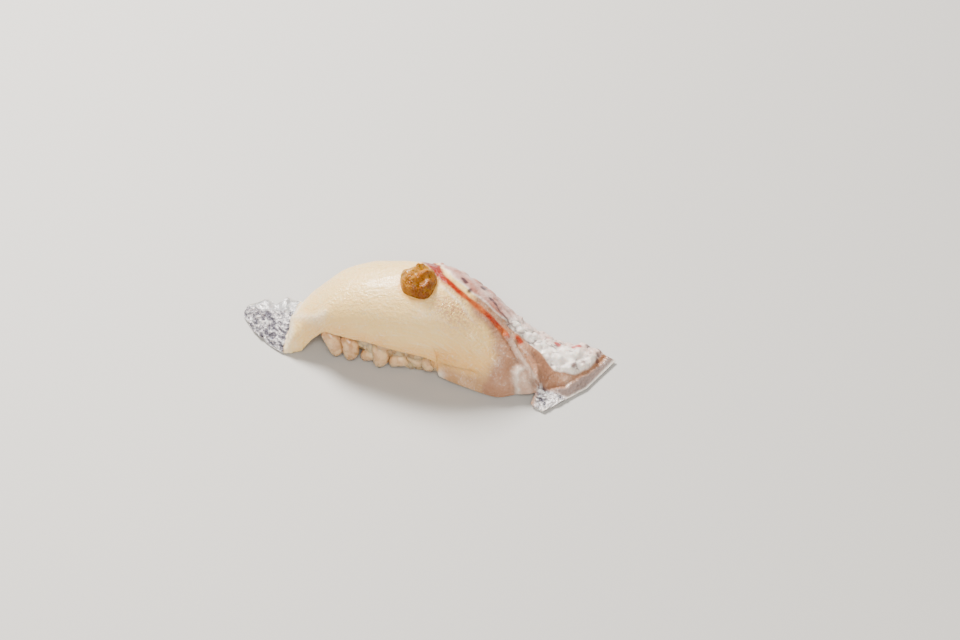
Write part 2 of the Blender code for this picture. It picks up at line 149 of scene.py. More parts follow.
def new_mesh(name: str, points: np.ndarray, faces: list[tuple[int, ...]]) -> bpy.types.Object:
    """A smooth-shaded object at the origin of the scene.

    Args:
        name: name of the object and its mesh.
        points: vertices in mm.
        faces: vertex numbers of each face, seen from outside in turn.

    Returns:
        The object.
    """
    mesh = bpy.data.meshes.new(name)
    mesh.from_pydata((points * MM).tolist(), [], faces)
    mesh.validate()
    mesh.shade_smooth()
    return in_scene(name, mesh)


def in_scene(name: str, data: bpy.types.ID) -> bpy.types.Object:
    """A new object in the scene.

    Args:
        name: its name.
        data: its mesh, light or camera.

    Returns:
        The object.
    """
    made = bpy.data.objects.new(name, data)
    bpy.context.scene.collection.objects.link(made)
    return made


def bands(around: int, rings: int) -> list[tuple[int, ...]]:
    """Faces between rings of points, each with two corners on its ring and two on the next."""
    edges = [(k * around + i, k * around + (i + 1) % around) for k in range(rings - 1) for i in range(around)]
    return [(a, b, b + around, a + around) for a, b in edges]


def top_of(cover: BVHTree, x: float, y: float) -> float | None:
    """Height in mm of the top of some faces at a place seen from above, where they are."""
    hit = cover.ray_cast(Vector((x, y, ABOVE)), Vector((0, 0, -1)))[0]
    return None if hit is None else hit.z


@dataclass(frozen=True)
class Value:
    """An output in a node tree, to which arithmetic adds nodes."""

    sketch: Sketch
    socket: bpy.types.NodeSocket

    def __add__(self, other: object) -> Value:
        """The sum."""
        return self.sketch.math("ADD", self, other)

    def __sub__(self, other: object) -> Value:
        """The difference."""
        return self.sketch.math("SUBTRACT", self, other)

    def __rsub__(self, other: float) -> Value:
        """What it leaves of a number."""
        return self.sketch.math("SUBTRACT", other, self)

    def __mul__(self, other: object) -> Value:
        """The product."""
        return self.sketch.math("MULTIPLY", self, other)

    def rise(self, low: float, high: float) -> Value:
        """A smooth rise from 0 at low to 1 at high."""
        inputs = {"Value": self, "From Min": low, "From Max": high}
        return self.sketch.value("ShaderNodeMapRange", inputs, interpolation_type="SMOOTHSTEP")


@dataclass(frozen=True)
class Sketch:
    """A node tree with short calls that add nodes to it."""

    tree: bpy.types.NodeTree

    def feed(self, node: bpy.types.Node, inputs: dict) -> None:
        """Sets or links inputs of a node.

        Args:
            node: the node.
            inputs: a number, a colour or a Value for inputs, by name or number.
        """
        for key, value in inputs.items():
            if isinstance(value, Value):
                self.tree.links.new(value.socket, node.inputs[key])
            else:
                node.inputs[key].default_value = value

    def add(self, kind: str, inputs: dict | None = None, **settings: object) -> bpy.types.Node:
        """Adds a node.

        Args:
            kind: Blender's name of the node's type.
            inputs: what its inputs are fed with.
            settings: properties of the node.

        Returns:
            The node.
        """
        node = self.tree.nodes.new(kind)
        for key, value in settings.items():
            setattr(node, key, value)
        self.feed(node, inputs or {})
        return node

    def value(self, kind: str, inputs: dict | None = None, out: int | str = 0, **settings: object) -> Value:
        """Adds a node and takes its first output, or the one that out gives."""
        return Value(self, self.add(kind, inputs, **settings).outputs[out])

    def math(self, operation: str, a: object, b: object, clamp: bool = False) -> Value:
        """The result of a Math node."""
        return self.value("ShaderNodeMath", {0: a, 1: b}, operation=operation, use_clamp=clamp)

    def blend(self, share: object, a: object, b: object) -> Value:
        """A colour between two."""
        a, b = (colour if isinstance(colour, Value) else (*colour, 1) for colour in (a, b))
        return self.value("ShaderNodeMix", {0: share, 6: a, 7: b}, 2, data_type="RGBA")

    def axes(self, place: Value) -> list[Value]:
        """The x, y and z of places."""
        return [Value(self, out) for out in self.add("ShaderNodeSeparateXYZ", {0: place}).outputs]

    def mask(self, name: str) -> Value:
        """A point attribute."""
        return self.value("ShaderNodeAttribute", out="Fac", attribute_name=name)

    def noise(self, place: Value, size: float, detail: float = 3.0) -> Value:
        """Noise from 0 to 1 with bumps of a size in metres, on places in metres."""
        inputs = {"Vector": place, "Scale": 1 / size, "Detail": detail, "Roughness": 0.55}
        return self.value("ShaderNodeTexNoise", inputs, "Fac")


def give_sockets(tree: bpy.types.NodeTree, inputs: dict[str, str], outputs: dict[str, str]) -> None:
    """Gives a node group its sockets.

    Args:
        tree: the group.
        inputs: kinds of its inputs by name.
        outputs: kinds of its outputs by name.
    """
    for way, sockets in (("INPUT", inputs), ("OUTPUT", outputs)):
        for name, kind in sockets.items():
            tree.interface.new_socket(name, in_out=way, socket_type="NodeSocket" + kind)


def moisture_group() -> bpy.types.NodeTree:
    """The wet grain that flesh, rice and relish share.

    Returns:
        A node group that puts out a height for a place and a number of grains per metre.
    """
    tree = bpy.data.node_groups.new("moisture", "ShaderNodeTree")
    give_sockets(tree, {"Place": "Vector", "Grains per Metre": "Float"}, {"Height": "Float"})
    sketch = Sketch(tree)
    place, grains = (Value(sketch, out) for out in list(sketch.add("NodeGroupInput").outputs)[:2])
    cells = {"Vector": place, "Scale": grains}
    away = sketch.value("ShaderNodeTexVoronoi", cells, "Distance", feature="SMOOTH_F1")
    patches = sketch.noise(place, 0.005, 2.0).rise(0.42, 0.62)
    sketch.add("NodeGroupOutput", {"Height": (1.0 - away) * patches})
    return tree


def wet_material(name: str, moisture: bpy.types.NodeTree, grains: float) -> tuple:
    """Starts a material with the shared wet grain.

    Args:
        name: name of the material.
        moisture: the group of wet grain.
        grains: grains per metre.

    Returns:
        The material, its sketch, the places on the object in metres, and the grain's height.
    """
    made = bpy.data.materials.new(name)
    made.use_nodes = True
    sketch = Sketch(made.node_tree)
    place = sketch.value("ShaderNodeTexCoord", out="Object")
    inputs = {"Place": place, "Grains per Metre": grains}
    return made, sketch, place, sketch.value("ShaderNodeGroup", inputs, node_tree=moisture)


def shade(made: bpy.types.Material, bump: tuple[Value, float, float], inputs: dict) -> bpy.types.Material:
    """Feeds the shader of a material.

    Args:
        made: the material.
        bump: the height, strength and depth in metres of its bump.
        inputs: what other inputs are fed with.

    Returns:
        The material.
    """
    sketch = Sketch(made.node_tree)
    normal = sketch.value("ShaderNodeBump", dict(zip(("Height", "Strength", "Distance"), bump)))
    sketch.feed(made.node_tree.nodes["Principled BSDF"], {**inputs, "Normal": normal})
    return made


@dataclass(frozen=True)
class SliceFinish:
    """Moist raw fish with its blood line, scalded skin and silvery film."""

    cream: Colour = (0.96, 0.66, 0.26)  # opaque flesh of the crown
    warm: Colour = (0.86, 0.47, 0.13)  # painted shade, warmer and deeper, low on the front
    clear: Colour = (0.36, 0.16, 0.105)  # see-through flesh towards the skin end
    haze: Colour = (0.54, 0.34, 0.27)  # cloudier patches in it
    pale: Colour = (0.94, 0.90, 0.84)  # white tissue along edges and folds, and painted highlights on the lobe, the hem under it, the slab's edge and specks on the flesh
    fibre: Colour = (0.93, 0.77, 0.50)  # fine lines in the flesh
    blood_crest: Colour = (0.25, 0.011, 0.002)  # blood line at the crown
    blood_low: Colour = (0.34, 0.018, 0.001)  # and half-way down
    blood_tan: Colour = (0.52, 0.14, 0.035)  # its faded stretches
    dots: Colour = (0.52, 0.22, 0.12)  # red-brown dots beside it
    skin: Colour = (0.95, 0.88, 0.83)
    lilac: Colour = (0.50, 0.22, 0.17)  # clear skin over dark flesh
    border: Colour = (0.42, 0.025, 0.02)  # edges of the scale pockets
    mark: Colour = (0.05, 0.016, 0.030)  # dark pigment in the skin, and painted shade in its creases, hollows and shadow spots
    film: Colour = (0.105, 0.098, 0.13)  # painted shade in the hollows of the film
    film_glint: Colour = (0.86, 0.83, 0.86)  # painted glints on its wrinkles, also mixed into its smooth back
    film_calm: Colour = (0.36, 0.38, 0.40)  # its smooth back
    strip: Colour = (0.23, 0.17, 0.155)  # smooth strip beyond the skin
    hollow: Colour = (0.22, 0.10, 0.06)  # brownish flesh, darkened as painted shade in folds, the strip groove and under the torn hem's ledge
    ooze: Colour = (0.80, 0.40, 0.06)  # flesh stained by the relish

    def colour(self, sketch: Sketch, place: Value, fibre: Value, masks: SimpleNamespace) -> Value:
        """The colour of the slice, layer on layer.

        Args:
            sketch: the material's sketch.
            place: places in metres.
            fibre: noise drawn out along the flesh.
            masks: the masks.

        Returns:
            The colour.
        """
        mix, mottle, fine = sketch.blend, sketch.noise(place, 0.006), sketch.noise(place, 0.0006)
        clear = mix(mottle.rise(0.44, 0.68) * 0.7, self.clear, self.haze)
        # painted glints on the film's crests, painted shade in its hollows
        film = mix((masks.crest * 0.55 + fine * 0.8).rise(0.58, 1.04), self.film, self.film_glint)
        calm = mix(mottle.rise(0.35, 0.65) * 0.5, self.film_calm, self.film_glint)
        film = mix(masks.pale * 0.6, mix(masks.calm * 0.85, film, calm), self.pale)
        low = sketch.axes(place)[0].rise(0.002, 0.008)
        blood = mix(masks.red, self.blood_tan, mix(low, self.blood_crest, self.blood_low))
        blood = mix(fine.rise(0.55, 0.7) * 0.35, blood, self.blood_tan)
        skin = mix(masks.border, mix(masks.pink, self.skin, self.lilac), self.border)
        layers = (
            (masks.warm * mottle.rise(0.1, 0.6), self.warm),
            (masks.clear, clear),
            (fibre.rise(0.48, 0.75) * 0.4 * (1.0 - masks.clear), self.fibre),
            # painted glints: pale specks on the flesh
            (fine.rise(0.54, 0.70) * mottle.rise(0.35, 0.60) * 0.34, self.pale),
            (masks.ooze * 0.75, self.ooze),
            (masks.granular * fine.rise(0.44, 0.56) * 0.7, self.dots),
            (masks.hollow * 0.75, self.hollow),
            (masks.strip, self.strip),
            (masks.pale, self.pale),
            (masks.film, film),
            (masks.blood, blood),
            (masks.skin, skin),
            (masks.mark, self.mark),
        )
        return reduce(lambda below, layer: mix(layer[0], below, layer[1]), layers, self.cream)

    def material(self, moisture: bpy.types.NodeTree) -> bpy.types.Material:
        """The finish as a material.

        Args:
            moisture: the group of wet grain.

        Returns:
            The material.
        """
        made, sketch, place, wet = wet_material("raw_sea_bream", moisture, 1500.0)
        masks = SimpleNamespace(**{name: sketch.mask(name) for name in MASKS})
        flat = sketch.value("ShaderNodeUVMap", out="UV", uv_map="slice")
        along = sketch.value("ShaderNodeMapping", {"Vector": flat, "Scale": (22, 110, 1)})
        drawn = {"Vector": along, "Scale": 1.0, "Detail": 4.0, "Distortion": 0.6}
        fibre = sketch.value("ShaderNodeTexNoise", drawn, "Fac")
        height = fibre * sketch.math("SUBTRACT", 0.45, masks.clear, clamp=True)
        height += sketch.noise(place, 0.0008) + wet * 0.45
        height += masks.granular * sketch.noise(place, 0.0005, 2.0) * 2.2
        height += masks.film * sketch.noise(place, 0.0007) * (1.15 - masks.calm) * 2.4
        inputs = {
            "Base Color": self.colour(sketch, place, fibre, masks),
            "Roughness": sketch.noise(place, 0.006) * 0.24 + 0.14 + masks.skin * 0.08,
            "Metallic": masks.film * 0.3,
            "Subsurface Weight": 0.25,
            "Subsurface Radius": (1.0, 0.6, 0.4),
            "Subsurface Scale": 0.0012,
            "Specular IOR Level": 0.4,
            "Coat Weight": 0.18,
            "Coat Roughness": 0.08,
        }
        return shade(made, (height, 0.8, 0.0004), inputs)


@dataclass(frozen=True)
class RiceFinish:
    """Cooked rice: a cloudy heart in a clearer, sticky skin."""

    heart: Colour = (0.80, 0.55, 0.31)  # whiter middle of a grain
    rind: Colour = (0.46, 0.24, 0.10)  # clearer outside
    gap_shade: Colour = (0.16, 0.06, 0.02)  # painted shade on the core, which shows only in the gaps between grains

    def material(self, name: str, moisture: bpy.types.NodeTree, loose: bool) -> bpy.types.Material:
        """The finish as a material.

        Args:
            name: name of the material.
            moisture: the group of wet grain.
            loose: whether it is for the loose grains, which carry a tone each.

        Returns:
            The material.
        """
        made, sketch, place, wet = wet_material(name, moisture, 900.0)
        cloud = sketch.noise(place, 0.0022).rise(0.38, 0.66)
        colour = sketch.blend(cloud, self.rind, self.heart)
        # the core is darkened as painted shade between the grains
        share, other = (sketch.mask("tone") * 0.6, self.heart) if loose else (0.6, self.gap_shade)
        inputs = {
            "Base Color": sketch.blend(share, colour, other),
            "Roughness": cloud * 0.18 + 0.24,
            "Subsurface Weight": 0.6,
            "Subsurface Radius": (1.0, 0.7, 0.45),
            "Subsurface Scale": 0.0025,
            "Coat Weight": 0.25,
            "Coat Roughness": 0.15,
        }
        return shade(made, (sketch.noise(place, 0.0012) + wet * 0.5, 0.5, 0.0002), inputs)


@dataclass(frozen=True)
class RelishFinish:
    """A wet ochre jelly with darker and lighter bits."""

    paste: Colour = (0.38, 0.135, 0.0)
    light: Colour = (0.42, 0.205, 0.0)  # greenish, as painted light on its side towards the lamp, and light bits
    dark: Colour = (0.23, 0.062, 0.0)  # painted shade on its side away from the lamp, and dark bits

    def material(self, moisture: bpy.types.NodeTree) -> bpy.types.Material:
        """The finish as a material.

        Args:
            moisture: the group of wet grain.

        Returns:
            The material.
        """
        made, sketch, place, wet = wet_material("relish", moisture, 1900.0)
        x, y, _ = sketch.axes(place)
        side = y - x + sketch.noise(place, 0.003) * 0.008
        light = sketch.noise(place, 0.0013).rise(0.52, 0.66)
        # painted light towards the back left, painted shade towards the front right
        colour = sketch.blend(side.rise(0.002, 0.010), self.paste, self.light)
        colour = sketch.blend(side.rise(0.002, -0.002), colour, self.dark)
        colour = sketch.blend(light * 0.5, colour, self.light)
        inputs = {
            "Base Color": sketch.blend(sketch.noise(place, 0.0021).rise(0.46, 0.34) * 0.6, colour, self.dark),
            "Roughness": light * 0.2 + 0.26,
            "Subsurface Weight": 0.45,
            "Subsurface Radius": (1.0, 0.5, 0.1),
            "Subsurface Scale": 0.0015,
            "Specular IOR Level": 0.25,
            "Coat Weight": 0.2,
            "Coat Roughness": 0.05,
        }
        return shade(made, (sketch.noise(place, 0.0006) + wet, 1.0, 0.0006), inputs)


# Cross-sections of the slice from the film's tip to the cut end: front hem, ridge and back hem,
# how square the front and back of the arch are, and the thickness
STATIONS = (
    ((-50.3, -1.5, 0.45), (-50.7, -0.1, 0.9), (-50.4, 1.3, 0.9), 1.2, 1.2, 0.55),
    ((-47.4, -4.7, 0.45), (-47.8, -0.5, 1.9), (-48.0, 3.9, 1.3), 1.4, 1.4, 0.60),
    ((-45.4, -6.7, 0.45), (-45.4, -1.0, 2.2), (-45.5, 5.3, 1.5), 1.4, 1.4, 0.65),
    ((-43.0, -8.3, 0.45), (-43.0, -1.5, 2.4), (-43.1, 4.5, 1.2), 1.5, 1.5, 0.70),
    ((-38.8, -10.9, 0.45), (-39.0, -2.5, 2.8), (-39.9, 6.6, 2.0), 1.6, 1.6, 0.90),
    ((-35.4, -12.2, 0.5), (-36.6, -3.3, 3.2), (-36.4, 6.5, 2.0), 1.8, 1.8, 1.8),
    ((-33.8, -11.9, 0.6), (-35.6, -3.3, 5.8), (-34.8, 6.3, 1.6), 2.5, 2.2, 3.4),
    ((-31.3, -11.0, 1.0), (-32.6, -2.5, 10.0), (-32.0, 7.7, 3.2), 2.5, 2.2, 4.2),
    ((-27.6, -9.9, 5.4), (-28.4, -1.5, 14.0), (-28.0, 9.9, 5.4), 2.5, 2.2, 4.8),
    ((-23.0, -11.0, 10.0), (-22.8, -0.3, 18.6), (-22.9, 12.7, 7.6), 2.4, 2.1, 5.0),
    ((-13.4, -12.2, 10.3), (-12.9, 0.9, 22.6), (-12.9, 14.7, 8.4), 2.3, 2.1, 5.2),
    ((-2.4, -12.9, 9.8), (-1.9, 1.7, 24.4), (-1.9, 15.1, 8.2), 2.3, 2.1, 5.2),
    ((6.8, -12.2, 7.6), (5.6, 1.5, 23.9), (5.6, 15.1, 7.4), 2.3, 2.05, 5.0),
    ((7.4, -11.4, 2.2), (9.0, 1.3, 22.7), (9.0, 14.6, 6.7), 2.4, 2.0, 5.0),
    ((14.6, -12.5, 1.0), (15.6, 0.3, 19.0), (16.1, 13.3, 5.0), 2.3, 1.9, 4.6),
    ((23.2, -13.5, 0.5), (22.6, -1.1, 13.2), (23.6, 11.3, 2.6), 2.1, 1.7, 4.0),
    ((28.6, -11.5, 0.9), (28.8, -1.7, 8.8), (30.6, 10.3, 1.2), 2.1, 1.5, 3.4),
    ((32.8, -10.5, 1.6), (34.4, -1.5, 6.2), (36.6, 9.7, 1.0), 2.0, 1.4, 3.0),
    ((34.0, -10.5, 2.2), (37.8, -1.9, 5.0), (40.6, 9.1, 2.0), 1.6, 1.6, 2.6),
    ((32.9, -13.8, 1.2), (41.0, -2.3, 3.4), (44.4, 8.7, 2.6), 1.3, 1.6, 2.0),
    ((34.8, -14.9, 0.7), (43.8, -3.7, 1.9), (48.0, 8.1, 1.4), 1.1, 1.1, 1.4),
    ((36.5, -15.5, 0.5), (45.6, -4.5, 0.7), (50.7, 7.6, 0.8), 1.0, 1.0, 0.6),
)


@dataclass(frozen=True)
class SliceMarks:
    """Where the slice's colours and small relief lie, seen from above."""

    skin_edge: Line = (
        (-4.6, 15.5), (0.4, 9.6), (3.0, 5.4), (6.6, 2.4), (13.0, 0.7), (20.0, 0.1), (27.3, 0.5),
        (32.0, -0.9), (36.6, -4.6), (41.8, -2.6), (44.8, 1.4), (47.0, 7.4),
    )
    blood_line: Line = (
        (-6.6, 15.3), (-2.2, 11.0), (0.6, 8.2), (3.4, 3.5), (6.3, 1.5), (9.5, 0.3), (12.6, -0.5),
        (16.2, -1.1), (19.0, -1.4), (21.6, -2.0), (23.8, -2.6),
    )
    blood_spot: Line = ((26.1, -0.9), (26.6, -1.3))
    seam: Line = ((5.6, -0.6), (8.2, -1.8), (11.3, -3.1), (14.1, -4.5), (17.2, -5.7))
    slab_edge: Line = ((-35.6, -4.0), (-33.6, -5.7), (-31.2, -7.0), (-28.0, -8.1), (-24.0, -9.2))
    fold_one: Line = (
        (23.6, -2.6), (25.5, -3.6), (27.0, -5.0), (28.6, -6.1), (30.6, -6.9), (32.2, -8.2),
    )
    fold_two: Line = ((27.6, -2.2), (30.0, -3.6), (32.0, -5.6), (33.4, -8.6))
    hollow: Line = ((31.6, -3.0), (34.6, -4.0), (34.8, -6.4), (33.4, -8.6))
    strip_groove: Line = (
        (34.1, -10.2), (37.0, -8.0), (40.3, -6.3), (42.1, -3.6), (44.0, -0.3), (46.1, 4.2), (47.6, 7.5),
    )
    tone_edge: Line = (
        (17.4, -14.0), (18.8, -12.0), (20.9, -9.6), (20.2, -7.0), (17.0, -4.8), (12.0, -3.4),
    )
    pigment: Line = (
        (9.4, 4.7), (10.2, 4.4), (11.9, 2.1), (14.1, 6.6), (14.4, 7.4), (17.1, 4.3), (18.2, 3.4),
    )
    dark_thread: Line = ((17.6, 3.7), (19.2, 2.7), (21.9, 2.2), (23.0, 1.6), (22.7, 0.8), (23.4, 0.5))
    oval: Line = ((24.0, 2.6), (25.4, 1.9))
    creases: tuple[Line, ...] = (
        ((29.7, 1.8), (30.4, 1.5), (31.2, 2.7), (31.1, 4.0)),
        ((32.4, 2.8), (33.6, 2.5), (35.0, 2.7), (35.3, 4.0)),
        ((42.1, 1.3), (42.8, 2.1), (43.8, 3.3)),
        ((45.1, 8.5), (45.9, 8.3), (46.3, 7.9)),
    )
    red_flecks: Line = ((32.4, 6.1), (34.8, 5.0), (35.4, 4.8), (39.3, 6.2), (40.6, 6.7))
    # places of painted shadow spots on the white skin
    shadow_spots: Line = (
        (40.8, -0.8), (46.2, 5.3), (46.0, 7.0), (42.8, 2.2), (42.9, 8.4), (36.0, 2.6),
    )


@dataclass
class Face:
    """The slice's outer face, which its relief and masks are worked out from."""

    points: np.ndarray  # before any relief
    flat: np.ndarray  # places along and over it
    over: np.ndarray  # places over the arch, from -1 at the front hem to 1 at the back hem
    seed: int

    def __post_init__(self) -> None:
        """Works out what several parts of the slice read."""
        self.x, self.y, self.z = (self.points[..., k] for k in range(3))
        self.broad, self.middling, self.small = self.noise(0, 9.0), self.noise(1, 2.6), self.noise(2, 1.0)

    def noise(self, pattern: int, cell: float, points: np.ndarray | None = None) -> np.ndarray:
        """Noise on the face, or on points drawn out from it."""
        return noise(self.seed + pattern, cell, self.points if points is None else points)

    def off(self, line: Line) -> np.ndarray:
        """Distance from a line of marks, positive on its left."""
        return distance_to_line(self.points, line)

    def near(self, places: Line, half: float) -> np.ndarray:
        """Round spots of a half-width at some places, from 0 to 1."""
        return most(*(bell(np.hypot(self.x - x, self.y - y) / half) for x, y in places))


@dataclass
class FishSlice:
    """The slice of fish, lofted through its stations."""

    step: float = 0.3  # length of a face along it
    across: int = 152  # faces over its width
    hem_thickness: float = 0.6  # of the hems, as a part of the slice's
    hem_drop: float = 0.45  # how far the inner edge of a hem hangs below the outer one
    thin_end_from: float = 25.0  # x from which its thickness goes straight off its face
    eased_part: tuple[int, int] = (11, 14)  # stations of the part that is smooth above the tear
    skin_rise: float = 0.7
    lobe_at: Point = (30.8, -10.0)  # middle of the bulge beside the cut end
    lobe_size: Point = (3.2, 2.4)
    lobe_rise: float = 1.2
    undercut: tuple[float, ...] = (6.4, 21.0, 6.2, 1.3)  # start, end, height and depth, under the torn hem
    ripple: float = 0.28  # height of the film's waves
    scale_pitch: float = 3.9  # distance between scale pockets
    lowest: Point = (0.15, 0.0)  # heights that its outer and inner faces don't go below
    sharp_angle: float = 75.0  # in degrees, past which an edge is shaded sharp
    flat_size: Point = (120, 80)  # length and width that its UV map covers
    seed: int = 21
    marks: SliceMarks = SliceMarks()

    def rails(self) -> tuple[np.ndarray, np.ndarray]:
        """The stations as rows of numbers.

        Returns:
            The distance along the ridge of each station, and its row.
        """
        rows = np.array([[*front, *ridge, *back, *shape] for front, ridge, back, *shape in STATIONS])
        steps = np.linalg.norm(np.diff(rows[:, 3:6], axis=0), axis=1)
        return np.concatenate([[0.0], np.cumsum(steps)]), rows

    def smooth_rows(self, at: np.ndarray) -> np.ndarray:
        """Rows between the stations, on a cubic that never swings past them.

        Args:
            at: distances along the ridge.

        Returns:
            One row for each distance.
        """
        knots, rows = self.rails()
        width = np.diff(knots)
        slope = np.diff(rows, axis=0) / width[:, None]
        before, after = slope[:-1], slope[1:]
        near, far = (2 * width[1:] + width[:-1])[:, None], (width[1:] + 2 * width[:-1])[:, None]
        same = before * after > 0
        mean = (near + far) / (near / np.where(same, before, 1) + far / np.where(same, after, 1))
        tangent = np.concatenate([slope[:1], np.where(same, mean, 0), slope[-1:]])
        i = np.clip(np.searchsorted(knots, at, side="right") - 1, 0, len(width) - 1)
        t, w = ((at - knots[i]) / width[i])[:, None], width[i][:, None]
        return (
            (1 + 2 * t) * (1 - t) ** 2 * rows[i]
            + t * (1 - t) ** 2 * w * tangent[i]
            + t * t * (3 - 2 * t) * rows[i + 1]
            + t * t * (t - 1) * w * tangent[i + 1]
        )

    def samples(self) -> np.ndarray:
        """Distances along the slice: every station and an even number of steps between.

        Returns:
            The distances.
        """
        knots, _ = self.rails()
        found = [knots[:1]]
        for start, end in zip(knots[:-1], knots[1:]):
            count = max(2, 2 * round((end - start) / self.step / 2))
            found.append(np.linspace(start, end, count + 1)[1:])
        return np.concatenate(found)

    @staticmethod
    def arch(rails: tuple[np.ndarray, ...], over: np.ndarray) -> np.ndarray:
        """Superellipse arches from the front hem over the ridge to the back hem.

        Args:
            rails: front hem, ridge, back hem and how square the front and back of each arch are.
            over: places over the arch, from -1 at the front to 1 at the back.

        Returns:
            A grid of points.
        """
        front, ridge, back, powers = rails
        forward = over[None, :] < 0
        side = np.where(forward[..., None], front[:, None], back[:, None])
        top = ridge[:, None]
        power = np.where(forward, powers[:, :1], powers[:, 1:])
        turn = np.abs(over)[None, :] * math.pi / 2
        out = np.sin(turn) ** (2 / power)
        up = np.clip(np.cos(turn), 0, 1) ** (2 / power)
        plan = top[..., :2] + (side - top)[..., :2] * out[..., None]
        height = side[..., 2] + (top - side)[..., 2] * up
        return np.concatenate([plan, height[..., None]], axis=2)

    def eased(self, front: np.ndarray, at: np.ndarray) -> np.ndarray:
        """The front hem with the tear smoothed out, as the slice lies above it.

        Args:
            front: points of the front hem.
            at: distances along the slice.

        Returns:
            The smoother points.
        """
        start, end = self.rails()[0][list(self.eased_part)]
        t = np.clip((at - start) / (end - start), 0, 1)[:, None]
        first, last = front[np.searchsorted(at, start)], front[np.searchsorted(at, end)]
        even = first + (last - first) * t
        even[:, 2] = (first + (last - first) * rise(t))[:, 2]
        return np.where((t > 0) & (t < 1), even, front)

    def draped(self, rails: tuple[np.ndarray, ...], at: np.ndarray, over: np.ndarray) -> np.ndarray:
        """Arches over the slice, with the tear only near the front hem.

        Args:
            rails: front hem, ridge, back hem and how square the arches are.
            at: distances along the slice.
            over: places over the arch.

        Returns:
            A grid of points.
        """
        torn = self.arch(rails, over)
        even = self.arch((self.eased(rails[0], at), *rails[1:]), over)
        return even + (torn - even) * rise((-over - 0.66) / 0.28)[None, :, None]

    @staticmethod
    def normals(grid: np.ndarray) -> np.ndarray:
        """Unit normals of a grid of points, pointing up and outwards."""
        normal = np.cross(np.gradient(grid, axis=0), np.gradient(grid, axis=1))
        return normal / np.maximum(np.linalg.norm(normal, axis=2, keepdims=True), 1e-9)

    @staticmethod
    def left_of(rail: np.ndarray) -> np.ndarray:
        """Level unit vectors to the left of a rail, eased round its corners.

        Args:
            rail: points of the rail.

        Returns:
            One vector for each point.
        """
        run = np.gradient(rail, axis=0)
        for _ in range(12):
            run[1:-1] = (run[:-2] + 2 * run[1:-1] + run[2:]) / 4
        left = np.stack([-run[:, 1], run[:, 0], np.zeros(len(run))], axis=1)
        return left / np.linalg.norm(left, axis=1, keepdims=True)

    def ripples(self, grid: np.ndarray) -> np.ndarray:
        """Up and down waves of the film and of the front tip of the cut end.

        Args:
            grid: points before the waves.

        Returns:
            How far each point moves up.
        """
        x, y = grid[..., 0], grid[..., 1]
        film, tip = rise((-37.5 - x) / 3), rise((x - 33.0) / 2) * rise((-7.0 - y) / 4)
        wave = np.sin(1.15 * x + 0.7 * y + 1.1 * np.sin(0.45 * y)) + 0.6 * np.sin(1.05 * y - 0.5 * x)
        return self.ripple * (wave + 0.8) * (film + 0.5 * tip)

    def scale_pockets(self, flat: np.ndarray) -> tuple[np.ndarray, np.ndarray]:
        """Puckered cells of the skin where its scales were.

        Args:
            flat: places along and over the slice.

        Returns:
            The distance to the nearest border in mm, and a random height of each cell.
        """
        chance = np.random.default_rng(self.seed)
        pitch, row_pitch = self.scale_pitch, self.scale_pitch * 0.87
        centres = np.array([
            (45 + (column + 0.5 * (row % 2)) * pitch, -30 + row * row_pitch)
            for row in range(int(70 / row_pitch))
            for column in range(int(90 / pitch))
        ])
        centres = centres + chance.uniform(-0.75, 0.75, (len(centres), 2))
        heights = chance.uniform(0, 1, len(centres))
        first, second = np.full((2, *flat.shape[:-1]), 1e9)
        level = np.zeros(flat.shape[:-1])
        for centre, height in zip(centres, heights):
            away = np.hypot(flat[..., 0] - centre[0], flat[..., 1] - centre[1])
            nearer = away < first
            second = np.where(nearer, first, np.minimum(second, away))
            level = np.where(nearer, height, level)
            first = np.where(nearer, away, first)
        return (second - first) / 2, level

    def skin_parts(self, face: Face) -> tuple[np.ndarray, dict[str, np.ndarray]]:
        """Puckers, cracks and colours of the skin.

        Args:
            face: the outer face.

        Returns:
            Its relief, and its masks.
        """
        marks, x, y, small, middling = self.marks, face.x, face.y, face.small, face.middling
        edge = face.off(marks.skin_edge) + 0.35 * middling
        skin, white = rise((edge + 0.2) / 0.6), rise((x - 21.5) / 2.5)
        hidden = rise((y - 7.5) / 3) * (1 - rise((x - 33) / 5))
        border, level = self.scale_pockets(face.flat)
        pucker = rise(border / 1.1)
        lift = self.skin_rise * rise(edge / (1.1 + 1.6 * (1 - white)))
        lift += skin * most(0.45 * white, hidden, 0.25) * (0.6 * pucker - 0.35 + 0.5 * (level - 0.5) * pucker)
        lumps = face.noise(13, 1.7)
        lift += skin * white * (0.34 * middling + 0.52 * lumps + 0.28 * small)
        near_oval = face.near(marks.oval, 1.2)
        oval = rise(1.6 * near_oval - 0.4)
        lift += 0.35 * oval
        crack = rise(1.2 - (border + 0.08 * small) / 0.22)
        sparse = rise((face.noise(12, 1.7) - 0.06) / 0.2)
        # painted shade along the creases of the white skin
        creases = most(*(bell(face.off(line) / 0.24) for line in marks.creases))
        # painted shade in the low places between the skin's lumps
        hollows = rise(-1.6 * lumps - 0.8 * middling - 0.3)
        # painted shadow spots on the white skin, darkening it and tinting it lilac
        patches = rise(1.7 * face.near(marks.shadow_spots, 0.9) - 0.6 + 0.5 * small) * white
